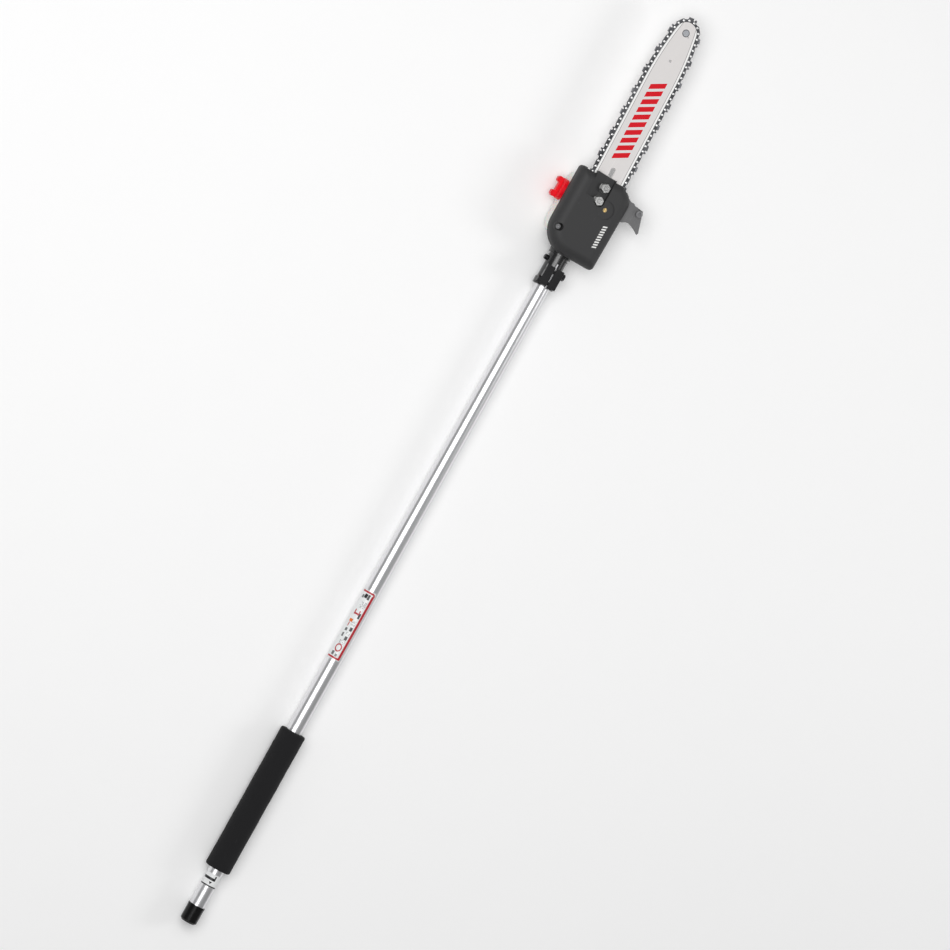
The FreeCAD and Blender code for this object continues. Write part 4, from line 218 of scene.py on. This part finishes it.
ring_foil = finish("ring_foil", light=(0.86, 0.87, 0.87), dark=(0.76, 0.77, 0.77), rough=0.32, spread=0.05,
                   grain_mm=0.5, relief_mm=0.003, scratch=0.15, scratched=(0.6, 0.6, 0.6))
tree = ring_foil.node_tree
along, around = tube_coordinates(tree)
DEPTH_LINE = 65.4
ARROW_TIP, ARROW_MIDDLE, ARROW_HALF_LENGTH = 68.4, 70.7, 2.3
STEM_LINE = 77.4
FOOT_LINE = 79.8
print_on(ring_foil, band(tree, along, DEPTH_LINE, 1.1), BLACK)
print_on(ring_foil, both_of(tree, band(tree, along, STEM_LINE, 2.2), band(tree, around, 9.0, 10.5)), BLACK)
print_on(ring_foil, both_of(tree, band(tree, along, FOOT_LINE, 4.2), band(tree, around, -2.0, 1.3)), BLACK)
slope = calculate(tree, "MULTIPLY", calculate(tree, "SUBTRACT", along, ARROW_TIP), 0.62)
from_arrow = calculate(tree, "ABSOLUTE", calculate(tree, "SUBTRACT", around, 3.0))
arrow_head = calculate(tree, "LESS_THAN", from_arrow, slope)
print_on(ring_foil, both_of(tree, arrow_head, band(tree, along, ARROW_MIDDLE, ARROW_HALF_LENGTH)), BLACK)
dress(ring_foil, "insertion_decal")

label_foil = finish("label_foil", light=(0.86, 0.88, 0.88), dark=(0.78, 0.80, 0.80), rough=0.30, spread=0.05,
                    grain_mm=0.5, relief_mm=0.003, scratch=0.15, scratched=(0.6, 0.6, 0.6))
tree = label_foil.node_tree
along, around = tube_coordinates(tree)
LABEL_BLOCKS = [
    # along, around, half length, half width, ink
    (597.5, 3.6, 4.6, 1.8, BLACK), (598.0, 8.6, 3.6, 2.8, BLACK), (595.8, 14.0, 2.8, 2.0, GREY),
    (567.6, 4.4, 4.4, 1.1, RED), (565.6, 8.6, 1.4, 3.4, RED), (568.0, 12.6, 4.4, 1.1, RED),
    (563.2, 2.4, 4.6, 1.7, BLACK), (552.4, 11.6, 2.6, 3.2, ORANGE), (545.2, 12.4, 3.6, 0.9, RED),
    (538.4, 3.6, 3.4, 2.3, BLACK), (521.8, 4.0, 3.4, 2.3, BLACK), (536.0, 11.6, 2.6, 2.2, GREY),
    (526.0, 12.6, 3.4, 1.8, GREY), (492.5, 12.0, 3.4, 2.4, GREY), (490.5, 5.0, 2.2, 1.8, GREY),
]
for at, turn, half_length, half_width, ink in LABEL_BLOCKS:
    block = both_of(tree, band(tree, along, at, half_length), band(tree, around, turn, half_width))
    print_on(label_foil, block, ink)
# Rows of short grey strokes stand where the real label has its small print.
PRINT_ROW = 1.7
LABEL_START, LABEL_END, LABEL_MIDDLE = 485.8, 605.0, 543.0
CORNER_ALONG, CORNER_AROUND = 601.2, 0.4
BADGE_ALONG, BADGE_AROUND, BADGE_STRETCH = 503.5, 7.4, 1.25
line_number = calculate(tree, "DIVIDE", around, PRINT_ROW)
stroke = add(tree, "ShaderNodeCombineXYZ", {"X": calculate(tree, "MULTIPLY", along, 0.55),
                                            "Y": calculate(tree, "FLOOR", line_number)})
broken = add(tree, "ShaderNodeTexWhiteNoise", {
    "Vector": add(tree, "ShaderNodeVectorMath", {"Vector": stroke.outputs[0]}, operation="FLOOR").outputs[0]})
row = calculate(tree, "LESS_THAN", calculate(tree, "FRACT", line_number), 0.42)
gaps = calculate(tree, "GREATER_THAN", broken.outputs[0], 0.38)
SMALL_PRINT = [
    # along, half length, around, half width
    (582.0, 6.0, 6.0, 5.6), (549.0, 4.2, 5.0, 3.6), (532.0, 4.0, 5.0, 3.4), (514.0, 3.6, 7.0, 5.0),
]
for at, half_length, turn, half_width in SMALL_PRINT:
    print_on(label_foil, both_of(tree, row, gaps, band(tree, along, at, half_length),
                                 band(tree, around, turn, half_width)), GREY)
# A red ring, the border's three sides and the rounded corner that joins two of them.
ring_along = calculate(tree, "DIVIDE", calculate(tree, "SUBTRACT", along, BADGE_ALONG), BADGE_STRETCH)
reach = distance(tree, ring_along, calculate(tree, "SUBTRACT", around, BADGE_AROUND))
print_on(label_foil, band(tree, reach, 4.8, 0.95), RED)
print_on(label_foil, both_of(tree, band(tree, around, -2.8, 2.2), band(tree, along, LABEL_MIDDLE, 58.2)), RED)
print_on(label_foil, both_of(tree, band(tree, along, LABEL_START, 1.5), band(tree, around, 12.0, 16.0)), RED)
print_on(label_foil, both_of(tree, band(tree, along, LABEL_END, 1.5), band(tree, around, 14.5, 14.5)), RED)
corner = distance(tree, calculate(tree, "SUBTRACT", along, CORNER_ALONG),
                  calculate(tree, "SUBTRACT", around, CORNER_AROUND))
beyond_corner = both_of(tree, calculate(tree, "GREATER_THAN", along, CORNER_ALONG),
                        calculate(tree, "LESS_THAN", around, CORNER_AROUND))
print_on(label_foil, both_of(tree, band(tree, corner, 4.2, 1.5), beyond_corner), RED)
dress(label_foil, "tube_label")


# ---- Foam grip --------------------------------------------------------------
# A sleeve of black closed-cell foam, slid on the tube with soap and left to seize.
# Its skin is matt and finely pitted, its cut ends are rounded over and it bulges very slightly.

grip_low, grip_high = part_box("foam_grip")
GRIP_START = grip_low[0]
GRIP_END = grip_high[0]
GRIP_RADIUS = (grip_high[2] - grip_low[2]) / 2
GRIP_BORE_RADIUS = 0.0127 + 0.0002
GRIP_ROUNDING = 0.0035


def lathe(name, profile, steps):
    """A closed solid turned about the pole's axis from (along, radius) points."""
    mesh = bpy.data.meshes.new(name)
    points = []
    for along_pole, radius in profile:
        for step in range(steps):
            angle = 2 * math.pi * step / steps
            points.append((along_pole, radius * math.cos(angle), radius * math.sin(angle)))
    faces = []
    rows = len(profile)
    for line in range(rows):
        after = (line + 1) % rows
        for step in range(steps):
            beside = (step + 1) % steps
            faces.append((line * steps + step, line * steps + beside,
                          after * steps + beside, after * steps + step))
    mesh.from_pydata(points, [], faces)
    mesh.update()
    piece = bpy.data.objects.new(name, mesh)
    bpy.context.scene.collection.objects.link(piece)
    return piece


def rounded_end(at, inward):
    """Points of one end's rounding, from the grip's side out to its end face."""
    points = []
    for step in range(7):
        angle = math.pi / 2 * step / 6
        points.append((at + inward * GRIP_ROUNDING * (1 - math.sin(angle)),
                       GRIP_RADIUS - GRIP_ROUNDING * (1 - math.cos(angle))))
    return points


def soft_grip_profile():
    """Half the grip's section: rounded ends and a barely uneven side."""
    side = []
    count = 60
    for step in range(1, count):
        share = step / count
        wave = 0.00012 * math.sin(share * 23.0) + 0.00008 * math.sin(share * 71.0 + 1.0)
        side.append((GRIP_START + GRIP_ROUNDING + (GRIP_END - GRIP_START - 2 * GRIP_ROUNDING) * share,
                     GRIP_RADIUS - 0.00025 + wave))
    return ([(GRIP_START, GRIP_BORE_RADIUS)] + rounded_end(GRIP_START, 1)[::-1] + side
            + rounded_end(GRIP_END, -1) + [(GRIP_END, GRIP_BORE_RADIUS)])


grip = lathe("foam_grip_sleeve", soft_grip_profile(), 96)
for polygon in grip.data.polygons:
    polygon.use_smooth = True
grip_foam = finish("pitted_foam", light=(0.013, 0.013, 0.014), dark=(0.006, 0.006, 0.007), rough=0.9,
                   spread=0.06, grain_mm=1.1, relief_mm=0.35, scratch=0.1, Sheen_Weight=0.03,
                   Specular_IOR_Level=0.3, Sheen_Roughness=0.5)
grip.data.materials.append(grip_foam)
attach(grip, "frame")
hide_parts("foam_grip")


# ---- Drive shaft and bushes -------------------------------------------------
# A ground steel rod turning in acetal bushes inside the pole, with a square at each end.
# Only its lower end can be reached, under the end cap.

oiled_steel = finish("oiled_steel", light=(0.52, 0.52, 0.53), dark=(0.36, 0.36, 0.38), rough=0.3, spread=0.08,
                     grain_mm=0.3, relief_mm=0.006, scratch=0.4, Metallic=1.0)
dress(oiled_steel, "drive_shaft", "pinion_bearings", "lower_bearing", "upper_bearing", "bevel_pinion",
      "bevel_gear", "sprocket_shaft", "drive_sprocket", "nose_sprocket")
natural_acetal = finish("natural_acetal", light=(0.74, 0.72, 0.66), dark=(0.64, 0.62, 0.56), rough=0.45,
                        spread=0.06, grain_mm=0.8, relief_mm=0.01, scratched=(0.5, 0.48, 0.42))
dress(natural_acetal, "shaft_bushes", "oil_filter")


# ---- Clamp adaptor ----------------------------------------------------------
# A die-cast split sleeve in thick glossy black paint, pinched on the tube by two bolts.
# A third screw keys it in the tube's hole.

gloss_paint = finish("gloss_black_paint", light=(0.012, 0.012, 0.013), dark=(0.005, 0.005, 0.006), rough=0.22,
                     spread=0.06, grain_mm=2.0, relief_mm=0.03, scratch=0.45, Coat_Weight=0.3,
                     Coat_Roughness=0.12)
dress(gloss_paint, "clamp_adaptor")
black_oxide = finish("black_oxide_steel", light=(0.055, 0.055, 0.058), dark=(0.025, 0.025, 0.027), rough=0.34,
                     spread=0.08, grain_mm=0.4, relief_mm=0.01, scratch=0.5, scratched=(0.35, 0.35, 0.35),
                     Metallic=1.0)
dress(black_oxide, "pinch_bolts", "locating_screw", "pinion_snap_ring", "upper_snap_ring", "sprocket_clip")
rubbed_screw = finish("rubbed_socket_screw", light=(0.34, 0.34, 0.35), dark=(0.14, 0.14, 0.145), rough=0.36,
                      spread=0.08, grain_mm=0.8, relief_mm=0.02, scratch=0.7, scratched=(0.6, 0.6, 0.6),
                      Metallic=0.8)
dress(rubbed_screw, "cover_screw", "hook_screw")


# ---- Gear case --------------------------------------------------------------
# The gear head's housing is die-cast and painted satin black, with machined bores.
# Shot blasting before the paint leaves a fine orange-peel skin.

satin_paint = finish("satin_black_paint", light=(0.026, 0.026, 0.028), dark=(0.014, 0.014, 0.015), rough=0.42,
                     spread=0.08, grain_mm=1.0, relief_mm=0.05, scratch=0.4)
dress(satin_paint, "gear_case")


# ---- Oil pump and oil line --------------------------------------------------
# A small brass pump and gear feed the bar through a rubber line from the tank.
# They sit inside the gear head, on the oil cap side of the sprocket shaft.

turned_brass = finish("turned_brass", light=(0.78, 0.60, 0.30), dark=(0.56, 0.42, 0.20), rough=0.3,
                      spread=0.08, grain_mm=0.3, relief_mm=0.01, scratch=0.5, Metallic=1.0)
dress(turned_brass, "pump_drive_gear", "oil_pump", "tension_screw")
moulded_nylon = finish("moulded_nylon", light=(0.030, 0.030, 0.032), dark=(0.018, 0.018, 0.02), rough=0.5,
                       spread=0.06, grain_mm=0.6, relief_mm=0.02)
dress(moulded_nylon, "pump_gear")
soft_rubber = finish("soft_rubber", light=(0.020, 0.020, 0.021), dark=(0.010, 0.010, 0.011), rough=0.6,
                     spread=0.08, grain_mm=0.5, relief_mm=0.02)
dress(soft_rubber, "oil_line", "oil_cap_gasket")


# ---- Guide bar --------------------------------------------------------------
# Two ground steel plates spot-welded over a core, clear lacquered, with bright bare rails.
# Slanted red bars are printed where a maker would put a name.

BAR_LEAN = math.radians(1.24)
SPROCKET_AXIS = 1.2845


def bar_coordinates(tree):
    """Distance along the bar from the sprocket axis and across it, both in millimetres."""
    place = add(tree, "ShaderNodeTexCoord").outputs["Object"]
    moved = add(tree, "ShaderNodeVectorMath", {0: place, 1: (SPROCKET_AXIS, 0.0, 0.0)}, operation="SUBTRACT")
    level = add(tree, "ShaderNodeVectorRotate", {"Vector": moved.outputs[0], "Angle": -BAR_LEAN},
                rotation_type="Z_AXIS")
    axes = add(tree, "ShaderNodeSeparateXYZ", {"Vector": level.outputs[0]}).outputs
    return calculate(tree, "MULTIPLY", axes["X"], 1000.0), calculate(tree, "MULTIPLY", axes["Y"], 1000.0)


def lacquered_bar(name):
    """Ground steel under clear lacquer, with its grain drawn along the bar."""
    return finish(name, light=(0.78, 0.755, 0.745), dark=(0.70, 0.675, 0.665), rough=0.42, spread=0.05,
                  grain_mm=0.25, relief_mm=0.004, scratch=0.3, stretch=(0.06, 1, 1), Metallic=0.15,
                  Specular_IOR_Level=0.3)


plain_lacquer = lacquered_bar("lacquered_bar_steel")
dress(plain_lacquer, "bar_plate_lower", "bar_core")
printed_lacquer = lacquered_bar("printed_bar_steel")
tree = printed_lacquer.node_tree
along_bar, across_bar = bar_coordinates(tree)
PRINT_PITCH = 14.0
PRINT_MIDDLE, PRINT_HALF_LENGTH = 196.0, 70.0
PALE_EDGE = (0.72, 0.80, 0.80)
PRINT_RED = (0.68, 0.002, 0.012)
spread_out = calculate(tree, "MULTIPLY_ADD", across_bar, 0.55, along_bar)
stripe = calculate(tree, "FRACT", calculate(tree, "DIVIDE", spread_out, PRINT_PITCH))
printed_length = band(tree, spread_out, PRINT_MIDDLE, PRINT_HALF_LENGTH)
print_on(printed_lacquer, both_of(tree, band(tree, stripe, 0.5, 0.40), band(tree, across_bar, 0.0, 13.4),
                                  printed_length), PALE_EDGE)
print_on(printed_lacquer, both_of(tree, band(tree, stripe, 0.5, 0.33), band(tree, across_bar, 0.0, 12.5),
                                  printed_length), PRINT_RED)
# The bar's side is straight as far as TAPER_START, then an arc that draws in to the nose.
TAPER_START = 262.0
HALF_WIDTH = 26.5
TAPER_RADIUS, TAPER_OFFSET = 546.7, 520.2
NOSE_RIVET, RIVET_SHADE_RADIUS = 355.3, 5.6
RAIL_WIDTH, RAIL_SHADE = 3.0, 3.7
from_middle = calculate(tree, "ABSOLUTE", across_bar)
arc = distance(tree, calculate(tree, "SUBTRACT", along_bar, TAPER_START),
               calculate(tree, "ADD", from_middle, TAPER_OFFSET))
taper = calculate(tree, "SUBTRACT", TAPER_RADIUS, arc)
straight = calculate(tree, "SUBTRACT", HALF_WIDTH, from_middle)
ahead = calculate(tree, "GREATER_THAN", along_bar, TAPER_START)
edge_gap = calculate(tree, "ADD", calculate(tree, "MULTIPLY", ahead, taper),
                     calculate(tree, "MULTIPLY", calculate(tree, "SUBTRACT", 1.0, ahead), straight))
rivet_gap = distance(tree, calculate(tree, "SUBTRACT", along_bar, NOSE_RIVET), across_bar)
print_on(printed_lacquer, band(tree, rivet_gap, RIVET_SHADE_RADIUS, 0.7), (0.10, 0.10, 0.11))
print_on(printed_lacquer, calculate(tree, "LESS_THAN", edge_gap, RAIL_WIDTH), (0.92, 0.92, 0.91))
print_on(printed_lacquer, band(tree, edge_gap, RAIL_SHADE, 0.45), (0.34, 0.335, 0.33))
dress(printed_lacquer, "bar_plate_upper")
bright_rivet = finish("bright_rivet_steel", light=(0.62, 0.64, 0.67), dark=(0.46, 0.48, 0.52), rough=0.3,
                      spread=0.08, grain_mm=0.5, relief_mm=0.02, scratch=0.5, Metallic=1.0)
dress(bright_rivet, "nose_rivet")


# ---- Saw chain --------------------------------------------------------------
# A low-profile chain of blued drive links and straps with chrome-faced cutters.
# Every joint is a steel rivet whose two heads are peened to a low dome.

blued_steel = finish("blued_chain_steel", light=(0.20, 0.205, 0.215), dark=(0.06, 0.062, 0.068), rough=0.32,
                     spread=0.12, grain_mm=1.4, relief_mm=0.02, scratch=0.6, Metallic=1.0)
dress(blued_steel, "drive_links", "tie_straps")
hard_chrome = finish("hard_chrome", light=(0.30, 0.305, 0.32), dark=(0.10, 0.10, 0.11), rough=0.26,
                     spread=0.10, grain_mm=1.2, relief_mm=0.015, scratch=0.6, Metallic=1.0)
dress(hard_chrome, "cutters")
peened_steel = finish("peened_rivet_steel", light=(0.98, 0.98, 0.98), dark=(0.80, 0.80, 0.80), rough=0.42,
                      spread=0.1, grain_mm=0.5, relief_mm=0.02, scratch=0.4, Metallic=1.0)


def rivet_centres():
    """The centre line of every chain rivet, read from the CAD rivets' upper ends."""
    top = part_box("chain_rivets")[1][2]
    centres = []
    counts = []
    for vertex in nodes["chain_rivets"].data.vertices:
        if vertex.co.z < top - 0.0001:
            continue
        for number, centre in enumerate(centres):
            known = centre / counts[number]
            if abs(known.x - vertex.co.x) < 0.004 and abs(known.y - vertex.co.y) < 0.004:
                centre += mathutils.Vector((vertex.co.x, vertex.co.y))
                counts[number] += 1
                break
        else:
            centres.append(mathutils.Vector((vertex.co.x, vertex.co.y)))
            counts.append(1)
    return [centre / counts[number] for number, centre in enumerate(centres)]


def rivet_tree(material):
    """Geometry nodes that put a shank and two domed heads on every point."""
    group = bpy.data.node_groups.new("peened_rivets", "GeometryNodeTree")
    face = group.interface
    face.new_socket("Geometry", in_out="INPUT", socket_type="NodeSocketGeometry")
    sizes = (("Head Radius", 0.0021), ("Dome Height", 0.0006), ("Shank Radius", 0.0015), ("Length", 0.0036))
    for label, start in sizes:
        face.new_socket(label, in_out="INPUT", socket_type="NodeSocketFloat").default_value = start
    face.new_socket("Geometry", in_out="OUTPUT", socket_type="NodeSocketGeometry")
    given = add(group, "NodeGroupInput").outputs
    dome = add(group, "GeometryNodeMeshUVSphere", {"Segments": 12, "Rings": 6, "Radius": 1.0})
    stretch = add(group, "ShaderNodeCombineXYZ", {"X": given["Head Radius"], "Y": given["Head Radius"],
                                                  "Z": given["Dome Height"]})
    half = calculate(group, "MULTIPLY", given["Length"], 0.5)
    lower_half = calculate(group, "MULTIPLY", given["Length"], -0.5)
    heads = []
    for height in (half, lower_half):
        lift = add(group, "ShaderNodeCombineXYZ", {"Z": height})
        heads.append(add(group, "GeometryNodeTransform", {
            "Geometry": dome.outputs["Mesh"], "Translation": lift.outputs[0], "Scale": stretch.outputs[0]}))
    shank = add(group, "GeometryNodeMeshCylinder", {"Vertices": 12, "Radius": given["Shank Radius"],
                                                    "Depth": given["Length"]})
    rivet = add(group, "GeometryNodeJoinGeometry")
    for part in (heads[0].outputs[0], heads[1].outputs[0], shank.outputs["Mesh"]):
        group.links.new(part, rivet.inputs[0])
    placed = add(group, "GeometryNodeInstanceOnPoints", {"Points": given["Geometry"],
                                                         "Instance": rivet.outputs[0]})
    real = add(group, "GeometryNodeRealizeInstances", {"Geometry": placed.outputs[0]})
    smooth = add(group, "GeometryNodeSetShadeSmooth", {"Geometry": real.outputs[0]})
    painted = add(group, "GeometryNodeSetMaterial", {"Geometry": smooth.outputs[0], "Material": material})
    out = add(group, "NodeGroupOutput")
    group.links.new(painted.outputs[0], out.inputs[0])
    return group


def settle(name, points, tree, values):
    """Run a node tree on loose points and keep its result as a plain mesh object."""
    mesh = bpy.data.meshes.new(name + "_points")
    mesh.from_pydata(points, [], [])
    source = bpy.data.objects.new(name + "_points", mesh)
    bpy.context.scene.collection.objects.link(source)
    modifier = source.modifiers.new("build", "NODES")
    modifier.node_group = tree
    sockets = {item.name: item.identifier for item in tree.interface.items_tree if item.in_out == "INPUT"}
    for label, number in values.items():
        modifier[sockets[label]] = number
    seen = source.evaluated_get(bpy.context.evaluated_depsgraph_get())
    plain = bpy.data.meshes.new_from_object(seen)
    bpy.data.objects.remove(source)
    piece = bpy.data.objects.new(name, plain)
    bpy.context.scene.collection.objects.link(piece)
    return piece


rivet_low, rivet_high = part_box("chain_rivets")
rivet_middle = (rivet_low[2] + rivet_high[2]) / 2
rivet_points = [(centre.x, centre.y, rivet_middle) for centre in rivet_centres()]
rivets = settle("chain_rivet_heads", rivet_points, rivet_tree(peened_steel), {
    "Head Radius": 0.0021, "Dome Height": 0.00055, "Shank Radius": 0.0015,
    "Length": rivet_high[2] - rivet_low[2] - 0.0011})
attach(rivets, "frame")
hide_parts("chain_rivets")


# ---- Bar clamp --------------------------------------------------------------
# Zinc-plated guide plates lie each side of the bar, with two studs and flange nuts over them.
# The nuts are bright and scratched by the spanner, with rounded corners and a dark ring painted as shade in
# the groove above each flange.

bright_zinc = finish("bright_zinc", light=(0.80, 0.80, 0.79), dark=(0.60, 0.60, 0.60), rough=0.24, spread=0.1,
                     grain_mm=0.5, relief_mm=0.02, scratch=0.6, Metallic=1.0)
dress(bright_zinc, "bar_studs", "tension_rod", "tension_pin", "tension_bracket", "tank_screws")
passivated_zinc = finish("passivated_zinc", light=(0.95, 0.95, 0.95), dark=(0.88, 0.88, 0.88), rough=0.6,
                         spread=0.1, grain_mm=0.5, relief_mm=0.01, Metallic=0.3)
dress(passivated_zinc, "guide_plate_inner", "guide_plate_outer")
worn_zinc_and_painted_shade = finish("worn_zinc_with_painted_shade", light=(0.90, 0.90, 0.88), dark=(0.66, 0.66, 0.66), rough=0.22,
                      spread=0.1, grain_mm=0.8, relief_mm=0.02, scratch=0.8, scratched=(0.3, 0.3, 0.3),
                      Metallic=1.0)
tree = worn_zinc_and_painted_shade.node_tree
nut_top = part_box("bar_nuts")[1][2]
place = add(tree, "ShaderNodeTexCoord").outputs["Object"]
height = add(tree, "ShaderNodeSeparateXYZ", {"Vector": place}).outputs["Z"]
FLANGE_DEPTH = 0.0062
# A dark band painted as shade in the groove at the flange, FLANGE_DEPTH below the nut's top.
painted_groove_shade = band(tree, height, nut_top - FLANGE_DEPTH, 0.0009)
print_on(worn_zinc_and_painted_shade, painted_groove_shade, (0.10, 0.10, 0.10))
dress(worn_zinc_and_painted_shade, "bar_nuts")


# ---- Sprocket cover ---------------------------------------------------------
# A moulded cover in glass-filled nylon, spark-eroded to a fine matt grain.
# A row of short white strokes is printed near its hook side where a maker would put a name.

cover_nylon = finish("grained_nylon", light=(0.030, 0.030, 0.031), dark=(0.021, 0.021, 0.022), rough=0.62,
                     spread=0.05, grain_mm=0.45, relief_mm=0.03, scratch=0.2)
tree = cover_nylon.node_tree
place = add(tree, "ShaderNodeTexCoord").outputs["Object"]
axes = add(tree, "ShaderNodeSeparateXYZ", {"Vector": place}).outputs
lean = calculate(tree, "MULTIPLY_ADD", axes["Y"], 0.35, axes["X"])
STROKE_PITCH = 0.0046
STROKES_ALONG, STROKES_ACROSS = 1.2765, -0.0286
ABOVE_SIDES = 0.0475
stroke_share = calculate(tree, "FRACT", calculate(tree, "DIVIDE", lean, STROKE_PITCH))
marks = calculate(tree, "LESS_THAN", stroke_share, 0.55)
print_on(cover_nylon, both_of(tree, marks, band(tree, lean, STROKES_ALONG, 0.0205),
                              band(tree, axes["Y"], STROKES_ACROSS, 0.0036),
                              calculate(tree, "GREATER_THAN", axes["Z"], ABOVE_SIDES)), (0.82, 0.82, 0.80))
dress(cover_nylon, "sprocket_cover")


# ---- Oil tank and cap -------------------------------------------------------
# The tank is blow-moulded in milky polyethylene, and its cap is bright red polypropylene.
# The cap's two wings are gripped to screw it down on a soft gasket.

milky_tank = finish("milky_polyethylene", light=(0.86, 0.86, 0.82), dark=(0.78, 0.78, 0.73), rough=0.4,
                    spread=0.06, grain_mm=1.5, relief_mm=0.04, scratch=0.15, scratched=(0.7, 0.7, 0.66),
                    Subsurface_Weight=0.4, Subsurface_Scale=0.004)
dress(milky_tank, "oil_tank")
red_cap = finish("red_polypropylene", light=(0.88, 0.002, 0.014), dark=(0.76, 0.001, 0.010), rough=0.34,
                 spread=0.06, grain_mm=1.2, relief_mm=0.04, scratch=0.2, scratched=(1.0, 0.2, 0.2),
                 Specular_IOR_Level=0.3)
dress(red_cap, "oil_cap")


# ---- Branch hook ------------------------------------------------------------
# A stamped steel hook, powder coated in textured grey and held by a socket head screw.
# It pulls cut branches free, so its tip and edges are rubbed.

powder_coat = finish("textured_powder_coat", light=(0.17, 0.17, 0.172), dark=(0.10, 0.10, 0.103), rough=0.6,
                     spread=0.06, grain_mm=0.7, relief_mm=0.08, scratch=0.4)
dress(powder_coat, "branch_hook")


# ---- Floor, light and camera ------------------------------------------------
# The attachment lies on a plain pale floor under soft studio light from its oil cap side.

floor_height = cad_box[0][2] - 0.0005
floor_mesh = bpy.data.meshes.new("floor")
floor_corners = [(-6, -7), (8, -7), (8, 7), (-6, 7)]
floor_mesh.from_pydata([(x, y, floor_height) for x, y in floor_corners], [], [(0, 1, 2, 3)])
floor = bpy.data.objects.new("floor", floor_mesh)
bpy.context.scene.collection.objects.link(floor)
floor_white = finish("floor_white", light=(0.985, 0.985, 0.985), dark=(0.975, 0.975, 0.975), rough=0.9,
                     spread=0.03, grain_mm=4.0, relief_mm=0.01, scratch=0.0)
floor_mesh.materials.append(floor_white)

ROLL = math.radians(18)
across = mathutils.Vector((0, -math.cos(ROLL), math.sin(ROLL)))
pole = mathutils.Vector((1, 0, 0))
POLE_RISE, POLE_RUN = 0.87310, 0.48754
screen_right = pole * POLE_RUN + across * POLE_RISE
screen_up = pole * POLE_RISE - across * POLE_RUN
towards_camera = screen_right.cross(screen_up)
target = mathutils.Vector((0.854, -0.0564, 0))


def turn_to(direction_x, direction_y, direction_z, at):
    """A placement whose own axes point along the three directions."""
    turn = mathutils.Matrix((direction_x, direction_y, direction_z)).transposed()
    return mathutils.Matrix.Translation(at) @ turn.to_4x4()


def soft_box(name, at, aim, size, watts):
    """A square studio light aimed at a point."""
    light = bpy.data.lights.new(name, "AREA")
    light.shape = "SQUARE"
    light.size = size
    light.energy = watts
    lamp = bpy.data.objects.new(name, light)
    facing = (at - aim).to_track_quat("Z", "Y").to_matrix().to_4x4()
    lamp.matrix_world = mathutils.Matrix.Translation(at) @ facing
    bpy.context.scene.collection.objects.link(lamp)


up = mathutils.Vector((0, 0, 1))
soft_box("key_light", target - screen_right * 1.4 + screen_up * 1.0 + up * 4.2, target, 2.6, 92)
soft_box("top_light", target + screen_up * 1.6 + up * 4.2, target, 3.0, 30)
soft_box("edge_light", target + screen_right * 3.0 - screen_up * 0.4 + up * 0.9, target, 1.0, 20)

# The plain view transform keeps the floor white and the black parts dark.
bpy.context.scene.view_settings.view_transform = "Standard"
world = bpy.data.worlds.new("studio")
bpy.context.scene.world = world
world.use_nodes = True
world.node_tree.nodes["Background"].inputs["Color"].default_value = (1, 1, 1, 1)
world.node_tree.nodes["Background"].inputs["Strength"].default_value = 0.27

lens = bpy.data.cameras.new("camera")
lens.sensor_width = 36
lens.lens = 175.4
lens.clip_end = 50
camera = bpy.data.objects.new("camera", lens)
CAMERA_DISTANCE = 7.5
camera.matrix_world = turn_to(screen_right, screen_up, towards_camera,
                              target + towards_camera * CAMERA_DISTANCE)
bpy.context.scene.collection.objects.link(camera)
bpy.context.scene.camera = camera
